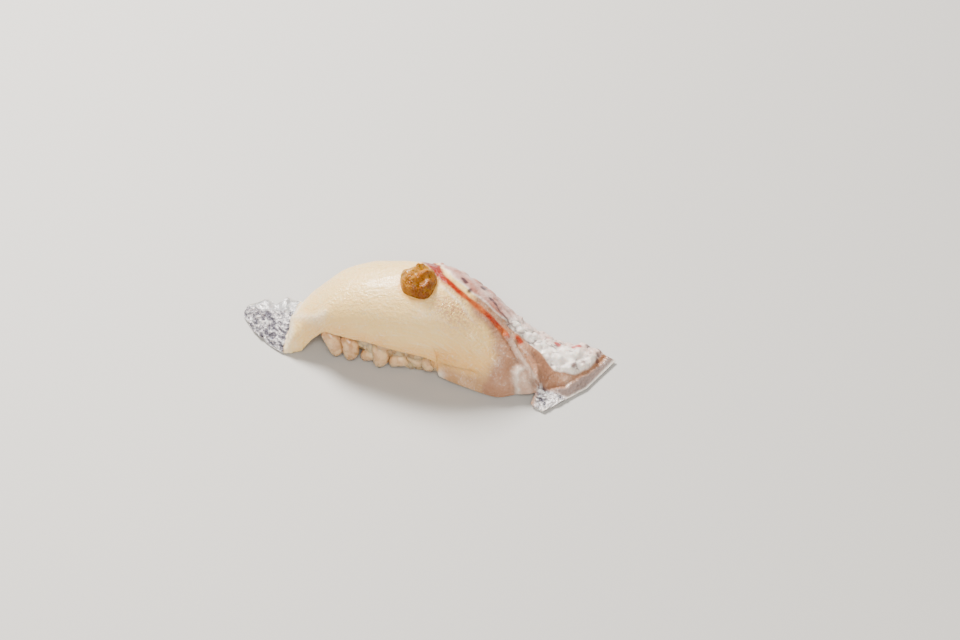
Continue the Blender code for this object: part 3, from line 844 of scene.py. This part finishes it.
        # dark pigment and threads, with painted shade in creases, hollows and shadow spots
        dark = most(
            rise(2.0 * face.near(marks.pigment, 0.95) - 0.7 + 0.6 * small),
            bell((face.off(marks.dark_thread) + 0.15 * small) / 0.26),
            0.75 * patches,
            0.8 * bell((near_oval - 0.42) / 0.13) * (small > -0.3) * (x < 26.5),
            most(0.85 * crack * sparse, creases * (0.8 + 0.4 * small), 0.15 * hollows) * white * skin,
        )
        flecks = rise(1.8 * face.near(marks.red_flecks, 1.0) - 0.55 + 0.4 * small)
        lilac = rise((edge - 1.2) / 0.9) * (1 - white) * (0.85 + 0.35 * middling)
        blush = 0.45 * rise((y - 3.4 + 1.2 * middling) / 3) * white
        pinks = most(np.clip(lilac, 0, 1) * (1 - oval), 0.35 * patches, blush)
        masks = {
            "skin": skin * most(white, rise((edge - 0.9) / 0.9)),
            "pink": np.clip(pinks + 0.3 * hidden * np.clip(middling, 0, 1), 0, 1),
            "border": np.clip(most(crack * (0.85 * hidden + 0.1), 0.9 * flecks * skin), 0, 1),
            "mark": np.clip(dark, 0, 1) * 0.9,
        }
        return lift, masks

    def flesh_parts(self, face: Face, skin: np.ndarray) -> tuple[np.ndarray, dict[str, np.ndarray]]:
        """Blood line, seam, folds and bulge beside the skin.

        Args:
            face: the outer face.
            skin: where the skin is.

        Returns:
            Its relief, and its masks.
        """
        marks, x, y, z, small, middling = self.marks, face.x, face.y, face.z, face.small, face.middling
        off_blood, off_seam = face.off(marks.blood_line), face.off(marks.seam)
        blood_off = np.abs(off_blood) + 0.22 * middling + 0.16 * small - 0.8 * bell((y - 8) / 3.2)
        blood = rise((1.45 - blood_off) / 0.95) * rise((24.6 - x) / 1.5)
        spot = 0.95 * rise(1.6 * face.near(marks.blood_spot, 1.2) - 0.42 + 0.15 * small)
        red = np.interp(x, (0, 4, 9, 12, 16, 18, 20.5, 22.5, 25), (1.4, 1.4, 1.2, 0.4, 0.25, 1, 1, 0.2, 1.2))
        red = np.clip(red - 0.5 * np.clip(blood_off - 0.5, 0, 1) + 0.35 * small + 0.2 * middling, 0, 1)
        seam = bell((off_seam + 0.25 * middling) / 0.4) * rise((16.4 - x) / 4) * (0.75 + 0.5 * small)
        granular = rise((0.3 - off_seam) / 0.8) * bell((x - 9.6) / 5.5) * bell((y + 5.2) / 3.3)
        specks = bell((off_blood + 1.5) / 0.5) * (x < 20)

        fold_one, fold_two = face.off(marks.fold_one), face.off(marks.fold_two)
        folds = 0.45 * bell(fold_one / 0.7) - 0.35 * bell((fold_one + 1.2) / 0.6)
        folds += 0.4 * bell((fold_two - 0.2) / 0.6) - 0.4 * bell((fold_two + 1.1) / 0.6)
        off = (face.points[..., :2] - np.array(self.lobe_at)) / np.array(self.lobe_size)
        lobe = self.lobe_rise * np.exp(-np.sum(off * off, axis=-1))
        off = off + (0.06, -0.12)
        ring = np.hypot(off[..., 0], off[..., 1]) + 0.08 * small
        facing = rise((0.3 - off[..., 0] - 0.3 * off[..., 1]) / 0.9)
        lobe += facing * (0.3 * bell((ring - 0.85) / 0.3) - 0.35 * bell((ring - 1.35) / 0.25))
        hollow = bell(face.off(marks.hollow) / 1.7) * (1 - bell(ring / 0.9))
        slab = bell(face.off(marks.slab_edge) / 0.9)
        lift = 0.14 * (most(blood, spot) + seam) + (folds - 0.25 * hollow) * (1 - skin) + lobe + 0.22 * slab

        start, end, height, depth = self.undercut
        below = height + 0.05 * (x - start) + 0.4 * middling - z
        reach = rise((x - start) / 2) * rise((end - x) / 6) * (y < 0)
        under = rise(below / 1.8 + 0.5) * np.exp(-np.clip(below, 0, None) / 2.6) * reach
        lift -= depth * under
        corner = bell(np.hypot(x - 7.6, z - 2.6) / 1.3) * (y < 0)
        # painted highlight along the hem under the lobe
        hem = bell((x - 30.4) / 2.8) * rise((3.4 - z + 0.5 * small) / 1.6) * (y < -8)
        # painted highlight on the lobe's rim where it faces the light, over its paler body
        lobe_pale_and_highlight = facing * bell((ring - 0.92) / 0.22) * (1 + 0.3 * small)
        lobe_pale_and_highlight += 0.35 * bell(ring / 0.9) + 0.3 * hem
        # painted highlights on the lobe and on the slab's edge, with the pale seam and torn corner
        pale = most(0.6 * seam, 0.42 * lobe_pale_and_highlight, 0.35 * slab, 0.7 * corner)
        pale += 0.25 * bell(fold_one / 0.5) * (x > 24)
        # painted shade in the hollow and in the trough beside the first fold
        fold_shade = (1.2 * hollow + 0.7 * bell((fold_one + 1.2) / 0.7)) * (1 - skin)
        masks = {
            "blood": most(blood * (1 - skin), spot),
            "red": most(red, spot),
            "skin": skin * (1 - spot),
            "granular": np.clip(granular + 0.8 * specks, 0, 1) * (1 - skin) * (1 - 0.7 * blood),
            "ooze": rise((1.14 - np.hypot(x + 0.9, y + 1.1) / 5.2) / 0.2) * (1 - blood),
            # painted shade under the ledge of the torn hem, fading to the right
            "hollow": np.clip(fold_shade + 0.2 * under * rise((14 - x) / 6), 0, 1),
            "pale": np.clip(pale, 0, 1) * (1 - skin),
        }
        return lift, masks

    def relief_and_masks(self, face: Face) -> tuple[np.ndarray, dict[str, np.ndarray]]:
        """Small shapes and colours of the outer face.

        Args:
            face: the outer face.

        Returns:
            How far each point stands out, and the masks for the finish.
        """
        marks, x, y, z = self.marks, face.x, face.y, face.z
        broad, middling, small = face.broad, face.middling, face.small
        lift, masks = self.skin_parts(face)
        more, others = self.flesh_parts(face, masks["skin"])
        masks.update(others)
        past_groove = -face.off(marks.strip_groove) + 0.45 * middling
        groove = bell(past_groove / 0.6)
        lift += more - 0.5 * groove

        past_flesh = -35.7 - x - 0.05 * (y + 4) + 0.8 * middling + 0.35 * small
        web = rise(past_flesh / 0.8 + 0.5)
        fringe = bell((past_flesh + 1.0) / 1.5) * (1 - web) * (0.8 + 0.4 * middling)
        tip = rise((x - 33.0) / 1.5) * rise((-8.6 - y + 0.5 * middling) / 1.6)
        film = most(web, tip)
        calm = web * rise((y - 0.6 + 0.5 * middling) / 1.4)
        bent = 0.59 * x + 0.81 * y + 0.6 * middling + 0.35 * small
        streaks = 0.5 - np.abs(face.noise(5, 2.3, np.stack([0.81 * x - 0.59 * y, 3.1 * bent, z], axis=-1)))
        wrinkle = 0.46 * streaks + 0.28 * (0.5 - np.abs(face.noise(6, 1.1))) + 0.12 * small
        lift += film * (1 - 0.8 * calm) * wrinkle - 0.3 * web
        lift += (1 - masks["skin"]) * (1 - film) * (0.10 * broad + 0.05 * middling + 0.02 * small)

        strip = rise((past_groove - 0.2) / 1.0) * rise((x - 33) / 2)
        tone = rise((-face.off(marks.tone_edge) + 0.9 * middling) / 3.6 + 0.3)
        low = rise((6.8 + 0.6 * middling - z) / 3) * rise((x - 6.5) / 2) * (y < 0)
        clear = most(tone * rise((x - 12) / 3), rise((x - 20.5) / 4), 0.75 * low) * 0.9
        rim = rise((np.abs(face.over) - 0.93) / 0.06)[None, :] * most(film, strip)
        end = rise((face.flat[..., 0] - face.flat[-1, 0, 0] + 0.7) / 0.5)
        off_end = 0.25 + 0.75 * rise((43 - x) / 4)
        masks.update(
            pale=most(masks["pale"], 0.7 * rim, 0.6 * end, 0.6 * fringe),
            # painted shade: warmer and deeper towards the bottom of the front
            warm=rise((17 - z + 2 * broad) / 9) * (1 - clear) * rise((x + 34) / 12),
            clear=clear,
            film=film,
            calm=calm,
            # painted glints: brighter on the wrinkle crests of the film
            crest=np.clip(0.38 + 1.7 * wrinkle + 0.15 * broad + 0.15 * tip, 0, 1),
            strip=strip * (1 - film),
            # painted shade in the strip groove, fading towards the cut end
            hollow=np.clip(masks["hollow"] + 0.6 * groove ** 2, 0, 1) * off_end,
        )
        for name in ("skin", "border", "mark"):
            masks[name] = masks[name] * (1 - film) * (1 - strip)
        return lift, masks

    def faces(self) -> tuple[np.ndarray, np.ndarray, np.ndarray, dict[str, np.ndarray]]:
        """Both faces of the slice.

        Returns:
            The outer grid, the inner grid with half as many steps each way, the places along and
            over the outer face, and the outer face's masks.
        """
        at = self.samples()
        table = self.smooth_rows(at)
        over = np.linspace(-1, 1, self.across + 1)
        front, ridge, back = table[:, 0:3].copy(), table[:, 3:6], table[:, 6:9].copy()
        powers, thick = table[:, 9:11], table[:, 11:]
        for k, rail, uneven, cell, ragged in ((9, front, 0.30, 3.1, 0.35), (10, back, 0.35, 3.7, 0.30)):
            rail[:, 2] += uneven * noise(self.seed + k, cell, rail) * rise((rail[:, 2] - 1) / 3)
            thin = rise((-27.0 - rail[:, 0]) / 4) * rise((rail[:, 0] + 50.4) / 2)
            rail[:, 1] += ragged * noise(self.seed + 11, 0.9, rail) * thin
        plain = self.draped((front, ridge, back, powers), at, over)
        normals = self.normals(plain)
        reach = np.linalg.norm(np.diff(plain, axis=1), axis=2)
        flat_y = np.concatenate([np.zeros((len(at), 1)), np.cumsum(reach, axis=1)], axis=1)
        flat_y -= flat_y[:, self.across // 2][:, None]
        flat = np.stack([np.broadcast_to(at[:, None], flat_y.shape), flat_y], axis=2)
        lift, masks = self.relief_and_masks(Face(plain, flat, over, self.seed))
        edge = np.minimum(1, (1 - np.abs(over)) / 0.06)
        outer = plain + normals * (lift * edge[None, :])[..., None]

        run = np.gradient(ridge, axis=0)
        run[:, 1] = 0
        run /= np.linalg.norm(run, axis=1, keepdims=True)
        shift = np.stack([run[:, 2], np.zeros(len(run)), -run[:, 0]], axis=1) * thick
        hem = np.minimum(self.hem_thickness * thick, 0.3 * (back - front)[:, 1:2])
        inner_front = front + hem * self.left_of(front) - (0, 0, self.hem_drop)
        inner_back = back - hem * self.left_of(back) - (0, 0, self.hem_drop)
        inner = self.draped((inner_front, ridge + shift, inner_back, powers), at, over)
        taper = (1 - 0.6 * np.abs(over) ** 3)[None, :, None]
        thin_end = rise((plain[..., :1] - self.thin_end_from) / 6)
        inner += (plain - normals * thick[:, None] * taper - inner) * thin_end
        waves = self.ripples(plain)
        for grid, lowest in zip((outer, inner), self.lowest):
            grid[..., 2] = np.maximum(grid[..., 2] + waves, lowest)
        return outer, inner[::2, ::2], flat, masks

    def build(self, material: bpy.types.Material) -> bpy.types.Object:
        """The slice as a closed, dressed mesh.

        Args:
            material: its finish.

        Returns:
            The object.
        """
        outer, inner, flat, masks = self.faces()
        rows, columns = outer.shape[:2]
        half_rows, half_columns = inner.shape[:2]
        base = rows * columns
        top = np.arange(base).reshape(rows, columns)
        under = base + np.arange(half_rows * half_columns).reshape(half_rows, half_columns)
        quads = np.stack([top[:-1, :-1], top[1:, :-1], top[1:, 1:], top[:-1, 1:]], axis=-1)
        below = np.stack([under[:-1, 1:], under[1:, 1:], under[1:, :-1], under[:-1, :-1]], axis=-1)
        rim = [(i, 0) for i in range(half_rows)]
        rim += [(half_rows - 1, j) for j in range(1, half_columns)]
        rim += [(i, half_columns - 1) for i in range(half_rows - 2, -1, -1)]
        rim += [(0, j) for j in range(half_columns - 2, 0, -1)]
        walls = []
        for (i, j), (k, n) in zip(rim, rim[1:] + rim[:1]):
            wall = (under[i, j], under[k, n], top[2 * k, 2 * n], top[i + k, j + n], top[2 * i, 2 * j])
            walls.append(tuple(int(corner) for corner in wall))
        points = np.concatenate([outer.reshape(-1, 3), inner.reshape(-1, 3)])
        faces = quads.reshape(-1, 4).tolist() + below.reshape(-1, 4).tolist() + walls
        made = new_mesh("fish_slice_looks", points, faces)
        mesh = made.data
        mesh.set_sharp_from_angle(angle=math.radians(self.sharp_angle))
        for name, values in masks.items():
            seen_below = 0.0 if name in ("skin", "border", "mark") else 1.0
            data = np.concatenate([values.reshape(-1), values[::2, ::2].reshape(-1) * seen_below])
            mesh.attributes.new(name, "FLOAT", "POINT").data.foreach_set("value", data.astype(np.float32))
        corners = np.empty(len(mesh.loops), dtype=np.int32)
        mesh.loops.foreach_get("vertex_index", corners)
        places = np.concatenate([flat.reshape(-1, 2), flat[::2, ::2].reshape(-1, 2)])
        uv = places[corners] / self.flat_size + (0, 0.5)
        mesh.uv_layers.new(name="slice").data.foreach_set("uv", uv.astype(np.float32).ravel())
        mesh.materials.append(material)
        return made


@dataclass
class RiceBlock:
    """The pressed rice: a core, and loose grains round it, under the faces of the slice."""

    cover: BVHTree
    middle: Triple = (3.6, 1.4, 8.4)
    half: Triple = (26.6, 10.7, 11.4)
    plan_power: float = 3.6  # how square it is seen from above
    side_power: float = 2.4  # and from the side
    skew: float = -0.28  # how far its ends slant, seen from above
    core_inset: float = 1.3  # how far the core lies inside the block
    core_faces: tuple[int, int] = (150, 60)  # faces round the core, and up it
    core_gap: float = 0.3  # between the core and the slice
    foot: Point = (0.05, 0.03)  # heights that the core and the loose grains don't go below
    grain_length: float = 7.4
    grain_width: float = 3.9
    spacing: float = 3.5  # between grains along a row
    rows: tuple[float, ...] = (1.7, 3.4, 5.2, 7.1, 9.1, 11.3, 13.6)  # heights of the rows of grains
    front: tuple = (  # the grains under the front hem, as two ends and a width each
        ((-24.0, -8.4, 8.6), (-20.2, -9.6, 1.6), 4.8),
        ((-18.0, -9.0, 8.0), (-16.6, -10.0, 1.2), 4.6),
        ((-14.6, -8.8, 1.8), (-10.4, -9.2, 3.6), 3.6),
        ((-9.4, -9.2, 7.4), (-8.4, -10.4, 1.0), 4.6),
        ((-6.6, -9.6, 2.6), (-1.8, -9.4, 4.0), 3.9),
        ((-1.4, -9.0, 5.6), (2.4, -9.6, 3.6), 3.6),
        ((3.4, -8.8, 6.6), (4.2, -10.0, 2.2), 3.7),
    )
    seed: int = 11

    def point(self, turn: float, tilt: float, inset: float = 0.0) -> Vector:
        """A point of the block.

        Args:
            turn: angle round it.
            tilt: angle from its foot to its top.
            inset: how far inside its face the point lies.

        Returns:
            The point in mm.
        """
        def power(value: float, square: float) -> float:
            """The value as a superellipse has it, keeping its sign."""
            return math.copysign(abs(value) ** (2 / square), value)

        ring = max(math.cos(tilt), 0.0) ** (2 / self.side_power)
        x = self.middle[0] + (self.half[0] - inset) * ring * power(math.cos(turn), self.plan_power)
        y = self.middle[1] + (self.half[1] - inset) * ring * power(math.sin(turn), self.plan_power)
        z = self.middle[2] + (self.half[2] - inset) * power(math.sin(tilt), self.side_power)
        return Vector((x + self.skew * (y - self.middle[1]), y, max(z, self.foot[0])))

    def core(self, material: bpy.types.Material) -> bpy.types.Object:
        """The core, lumpy like packed grains and kept under the slice.

        Args:
            material: its finish.

        Returns:
            The object.
        """
        around, rings = self.core_faces
        turns = [2 * math.pi * i / around for i in range(around)]
        tilts = [-math.pi / 2 + math.pi * k / rings for k in range(1, rings)]
        places = [(turn, tilt) for tilt in tilts for turn in turns] + [(0, -math.pi / 2), (0, math.pi / 2)]
        grid = np.array([list(self.point(turn, tilt, self.core_inset)) for turn, tilt in places])
        lump = 0.5 * noise(self.seed, 2.4, grid) + 0.25 * noise(self.seed + 1, 1.2, grid)
        away = grid - np.array((self.middle[0], self.middle[1], self.middle[2] * 0.6))
        away /= np.linalg.norm(away, axis=1, keepdims=True)
        grid += away * lump[:, None]
        for place in grid:
            hit = self.cover.ray_cast(Vector((place[0], place[1], BELOW)), Vector((0, 0, 1)))[0]
            if hit is not None:
                place[2] = min(place[2], hit.z - self.core_gap)
        grid[:, 2] = np.maximum(grid[:, 2], self.foot[0])
        faces = bands(around, rings - 1)
        last = (rings - 2) * around
        for i in range(around):
            j = (i + 1) % around
            faces += [(j, i, len(grid) - 2), (last + i, last + j, len(grid) - 1)]
        made = new_mesh("rice_core", grid, faces)
        made.data.materials.append(material)
        return made

    @staticmethod
    def axes_of(side: Vector, lie: Vector) -> Matrix:
        """Axes of a grain whose length lies one way, with a side towards another."""
        side = side.normalized()
        return Matrix((side, lie.cross(side), lie)).transposed()

    def clear_of_cover(self, place: Matrix, size: Triple) -> bool:
        """Whether a grain stays out of the slice.

        Args:
            place: where the grain lies, in mm.
            size: its scale along its three axes.

        Returns:
            True if neither its ends nor its sides are in the slice.
        """
        wide, long = self.grain_width / 2 * 0.8, self.grain_length / 2 * 0.92
        tests = [(0, 0, long * part) for part in (1, -1, 0.5, -0.5, 0)]
        tests += [(wide, 0, 0), (-wide, 0, 0), (0, wide, 0), (0, -wide, 0)]
        for test in tests:
            spot = place @ Vector(a * b for a, b in zip(test, size))
            near, normal, _, _ = self.cover.find_nearest(spot)
            above = top_of(self.cover, spot.x, spot.y)
            if (spot - near).dot(normal) < 0 or (above is not None and above < spot.z):
                return False
        return True

    def front_places(self) -> list[tuple[Vector, Vector, Triple]]:
        """Where the grains under the front hem lie.

        Returns:
            The middle, the turn and the scale of each grain.
        """
        found = []
        for low, high, width in self.front:
            start, end = Vector(low), Vector(high)
            lie = (end - start).normalized()
            axes = self.axes_of(lie.cross(Vector((0, 1, 0))), lie)
            wide = width / self.grain_width
            size = (wide, wide, ((end - start).length + 0.6) / self.grain_length)
            found.append(((start + end) / 2, Vector(axes.to_euler("XYZ")), size))
        return found

    def loose_grain(self, turn: float, tilt: float, chance: random.Random) -> tuple[Vector, Matrix, Triple]:
        """Lays a grain on the block.

        Args:
            turn: angle round the block.
            tilt: angle from its foot to its top.
            chance: source of the random lie.

        Returns:
            The middle, the axes and the scale of the grain.
        """
        aside = 0.02
        ahead = self.point(turn + aside, tilt) - self.point(turn - aside, tilt)
        up = self.point(turn, tilt + aside) - self.point(turn, tilt - aside)
        out = ahead.cross(up).normalized()
        lie = Matrix.Rotation(chance.uniform(-1.5, 1.5), 3, out) @ ahead.normalized()
        lie = (lie + out * chance.uniform(-0.45, 0.3)).normalized()
        size = tuple(chance.uniform(0.84, 1.08) for _ in range(3))
        middle = self.point(turn, tilt) + out * chance.uniform(-0.9, 0.5)
        first, last = self.front[0][0][0] - 1, self.front[-1][1][0] + 1
        middle -= out * (0.3 if middle.y < -6.5 and first < middle.x < last else 0.0)
        middle.z = max(middle.z + chance.uniform(-0.7, 0.7), self.grain_width * 0.4)
        middle.z = max(middle.z, abs(lie.z) * self.grain_length * 0.44)
        return middle, self.axes_of(out.cross(lie), lie), size

    def places(self) -> list[tuple[Vector, Vector, Triple]]:
        """Where all the grains lie.

        Returns:
            The middle, the turn and the scale of each grain.
        """
        chance = random.Random(self.seed)
        found = self.front_places()
        steps, tries = 720, 8
        for row, height in enumerate(self.rows):
            level = (height - self.middle[2]) / self.half[2]
            tilt = math.asin(math.copysign(abs(level) ** (self.side_power / 2), level))
            fine = [self.point(2 * math.pi * i / steps, tilt) for i in range(steps + 1)]
            lengths = np.concatenate([[0], np.cumsum([(b - a).length for a, b in zip(fine[:-1], fine[1:])])])
            count = round(lengths[-1] / self.spacing)
            for i in range(count):
                for _ in range(tries):
                    goal = (i + 0.5 * (row % 2) + chance.uniform(-0.3, 0.3)) % count / count
                    turn = 2 * math.pi * np.searchsorted(lengths, goal * lengths[-1]) / steps
                    middle, axes, size = self.loose_grain(turn, tilt, chance)
                    if self.clear_of_cover(Matrix.Translation(middle) @ axes.to_4x4(), size):
                        found.append((middle, Vector(axes.to_euler("XYZ")), size))
                        break
        return found

    @staticmethod
    def grain_tree(material: bpy.types.Material) -> bpy.types.NodeTree:
        """The Geometry Nodes tree that puts a grain on each point.

        Args:
            material: finish of the grains.

        Returns:
            The tree.
        """
        tree = bpy.data.node_groups.new("cooked_grains", "GeometryNodeTree")
        inputs = {"Geometry": "Geometry", "Grain Length": "Float", "Grain Width": "Float", "Seed": "Int"}
        give_sockets(tree, inputs, {"Geometry": "Geometry"})
        sketch = Sketch(tree)
        given = list(sketch.add("NodeGroupInput").outputs)[:len(inputs)]
        points, long, wide, seed = (Value(sketch, out) for out in given)
        kinds = sketch.add("GeometryNodeJoinGeometry")
        for shape in GrainShape:
            ball = sketch.value("GeometryNodeMeshUVSphere", {"Segments": 9, "Rings": 7, "Radius": 0.5})
            x, y, z = sketch.axes(sketch.value("GeometryNodeInputPosition"))
            square = z * z
            plump, bent = square * 1.3 + 1.0, square * (4 * shape.value)
            moved = {"X": (x * plump + bent) * wide, "Y": y * (plump * 0.88) * wide, "Z": z * long}
            inputs = {"Geometry": ball, "Position": sketch.value("ShaderNodeCombineXYZ", moved)}
            shaped = sketch.value("GeometryNodeSetPosition", inputs)
            sketch.feed(kinds, {0: sketch.value("GeometryNodeGeometryToInstance", {0: shaped})})

        def named(name: str) -> Value:
            """A vector that the points carry."""
            return sketch.value("GeometryNodeInputNamedAttribute", {"Name": name}, data_type="FLOAT_VECTOR")

        inputs = {
            "Points": points,
            "Instance": Value(sketch, kinds.outputs[0]),
            "Pick Instance": True,
            "Instance Index": sketch.value(
                "FunctionNodeRandomValue", {"Seed": seed, 4: 0, 5: len(GrainShape) - 1}, 2, data_type="INT"
            ),
            "Rotation": sketch.value("FunctionNodeEulerToRotation", {0: named("turn")}),
            "Scale": named("size"),
        }
        grains = sketch.value("GeometryNodeInstanceOnPoints", inputs)
        tone = sketch.value("FunctionNodeRandomValue", {"Seed": seed}, 1, data_type="FLOAT")
        inputs = {"Geometry": grains, "Name": "tone", "Value": tone}
        toned = sketch.value("GeometryNodeStoreNamedAttribute", inputs, data_type="FLOAT", domain="INSTANCE")
        real = sketch.value("GeometryNodeRealizeInstances", {0: toned})
        smooth = sketch.value("GeometryNodeSetShadeSmooth", {0: real})
        dressed = sketch.value("GeometryNodeSetMaterial", {0: smooth, "Material": material})
        sketch.add("NodeGroupOutput", {0: dressed})
        return tree

    def grains(self, material: bpy.types.Material) -> bpy.types.Object:
        """The loose grains as one mesh.

        Args:
            material: finish of the grains.

        Returns:
            The object.
        """
        middles, turns, sizes = (np.array([list(part) for part in column]) for column in zip(*self.places()))
        made = new_mesh("rice_grains", middles, [])
        for name, values in (("turn", turns), ("size", sizes)):
            attribute = made.data.attributes.new(name, "FLOAT_VECTOR", "POINT")
            attribute.data.foreach_set("vector", values.astype(np.float32).ravel())
        modifier = made.modifiers.new("grains", "NODES")
        modifier.node_group = self.grain_tree(material)
        given = {
            "Grain Length": self.grain_length * MM,
            "Grain Width": self.grain_width * MM,
            "Seed": self.seed,
        }
        for item in modifier.node_group.interface.items_tree:
            if item.in_out == "INPUT" and item.name in given:
                modifier[item.identifier] = given[item.name]
        graph = bpy.context.evaluated_depsgraph_get()
        made.data = bpy.data.meshes.new_from_object(made.evaluated_get(graph))
        made.modifiers.clear()
        for vertex in made.data.vertices:
            vertex.co.z = max(vertex.co.z, self.foot[1] * MM)
        LOG.info("rice grains: %d", len(middles))
        return made


@dataclass
class Relish:
    """The dab of ochre paste on the crown, over the faces of the slice."""

    cover: BVHTree
    at: Point = (-0.9, -0.7)
    half: Point = (4.8, 4.8)
    height: float = 2.9
    waves: tuple[Triple, ...] = ((1, 0.07, 2.44), (3, 0.05, 4.19), (5, 0.04, 5.93))  # count, size and start
    lump: float = 0.15  # height of its soft lumps, as a part of its height
    lip: float = 0.4  # how far its top stands over the slice at its edge
    sunk: float = 0.15  # how far its foot lies in the slice
    seed: int = 5

    def build(self, material: bpy.types.Material) -> bpy.types.Object:
        """The dab as a closed, dressed mesh.

        Args:
            material: its finish.

        Returns:
            The object.
        """
        around, rings = 120, 44
        turn = np.arange(around) * 2 * math.pi / around
        bulge = 1 + sum(size * np.sin(n * turn + start) for n, size, start in self.waves)
        reach = np.arange(1, rings + 1)[:, None] / rings
        x = self.at[0] + self.half[0] * bulge * reach * np.cos(turn)
        y = self.at[1] + self.half[1] * bulge * reach * np.sin(turn)
        x, y = np.append(x.ravel(), self.at[0]), np.append(y.ravel(), self.at[1])
        reach = np.append(np.broadcast_to(reach, (rings, around)).ravel(), 0.0)
        lumps = np.sin(1.1 * x + 0.4) * np.sin(1.3 * y + 1.9) + 0.7 * np.sin(1.9 * x - 1.2 * y)
        swell = self.height * np.clip(1 - reach**2.8, 0, 1) ** 0.5 * (1 + self.lump * lumps)
        base = np.array([top_of(self.cover, a, b) for a, b in zip(x, y)])
        top = np.stack([x, y, base + swell + self.lip], axis=1)
        bits = 0.45 * noise(self.seed, 1.9, top) + 0.28 * noise(self.seed + 1, 0.8, top)
        away = top - np.array((*self.at, base[-1]))
        away /= np.linalg.norm(away, axis=1, keepdims=True) + 1e-9
        inside = np.clip((1 - reach) * 6, 0, 1)[:, None]
        top = top + away * bits[:, None] * (0.35 + 0.65 * inside)
        foot = np.stack([x, y, base - self.sunk], axis=1)
        count, last, faces = len(top), (rings - 1) * around, []
        for a, b, c, d in bands(around, rings):
            faces += [(a, d, c, b), (count + a, count + b, count + c, count + d)]
        for i in range(around):
            j = (i + 1) % around
            faces += [(count - 1, i, j), (2 * count - 1, count + j, count + i)]
            faces.append((last + i, count + last + i, count + last + j, last + j))
        made = new_mesh("relish_dab_looks", np.concatenate([top, foot]), faces)
        made.data.materials.append(material)
        return made


@dataclass
class Studio:
    """Pale floor, soft light and the camera."""

    floor: Colour = (0.48, 0.48, 0.48)
    eye: Triple = (126.53, -414.45, 422.47)  # place of the camera
    aim: Triple = (11.71, 14.07, 0.0)  # point that it looks at
    lens: float = 85.0  # on a sensor of 36 mm

    @staticmethod
    def light(name: str, place: Triple, size: float, watts: float, tint: Colour) -> None:
        """A soft square light that points at the origin.

        Args:
            name: its name.
            place: its place in metres.
            size: its side in metres.
            watts: its power.
            tint: its colour.
        """
        data = bpy.data.lights.new(name, "AREA")
        data.shape, data.size, data.energy, data.color = "SQUARE", size, watts, tint
        made = in_scene(name, data)
        made.location = place
        made.rotation_euler = (-Vector(place)).to_track_quat("-Z", "Y").to_euler()

    def build(self) -> None:
        """Makes the floor, the lights and the camera."""
        side = 1500.0
        corners = np.array([(-side, -side, 0), (side, -side, 0), (side, side, 0), (-side, side, 0)])
        floor = new_mesh("floor", corners, [(0, 1, 2, 3)])
        paint = bpy.data.materials.new("pale_floor")
        paint.use_nodes = True
        paint_inputs = {"Base Color": (*self.floor, 1), "Roughness": 0.6}
        Sketch(paint.node_tree).feed(paint.node_tree.nodes["Principled BSDF"], paint_inputs)
        floor.data.materials.append(paint)
        self.light("window", (-0.42, 0.46, 0.66), 0.30, 29.0, (1.0, 0.94, 0.86))
        self.light("fill", (0.20, -0.70, 0.80), 0.5, 13.0, (1.0, 0.93, 0.82))
        world = bpy.data.worlds.new("studio")
        world.use_nodes = True
        sky = {"Color": (1.0, 0.96, 0.90, 1), "Strength": 0.22}
        Sketch(world.node_tree).feed(world.node_tree.nodes["Background"], sky)
        bpy.context.scene.world = world
        data = bpy.data.cameras.new("camera")
        data.lens, data.sensor_width, data.clip_start = self.lens, 36.0, 0.01
        camera = in_scene("camera", data)
        camera.location = Vector(self.eye) * MM
        camera.rotation_euler = (Vector(self.aim) - Vector(self.eye)).to_track_quat("-Z", "Y").to_euler()
        bpy.context.scene.camera = camera


def faces_of(shown: bpy.types.Object) -> BVHTree:
    """The faces of an object for finding hits and nearest points, in mm."""
    points = [vertex.co / MM for vertex in shown.data.vertices]
    return BVHTree.FromPolygons(points, [tuple(face.vertices) for face in shown.data.polygons])


def hand_over(piece: bpy.types.Object, node: str) -> None:
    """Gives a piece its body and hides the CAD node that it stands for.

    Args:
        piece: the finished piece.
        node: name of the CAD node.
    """
    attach(piece, "root")
    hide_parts(node)
    LOG.info("%s: %d faces", piece.name, len(piece.data.polygons))


def main() -> None:
    """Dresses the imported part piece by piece."""
    logging.basicConfig(level=logging.INFO, format="%(message)s")
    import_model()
    moisture = moisture_group()
    slice_piece = FishSlice().build(SliceFinish().material(moisture))
    cover = faces_of(slice_piece)
    hand_over(slice_piece, "fish_slice")
    rice = RiceBlock(cover)
    core = rice.core(RiceFinish().material("rice_heart", moisture, loose=False))
    hand_over(core, "rice")
    grains = rice.grains(RiceFinish().material("loose_rice", moisture, loose=True))
    hand_over(grains, "rice")
    dab = Relish(cover).build(RelishFinish().material(moisture))
    hand_over(dab, "relish_dab")
    Studio().build()


if __name__ == "__main__":
    main()
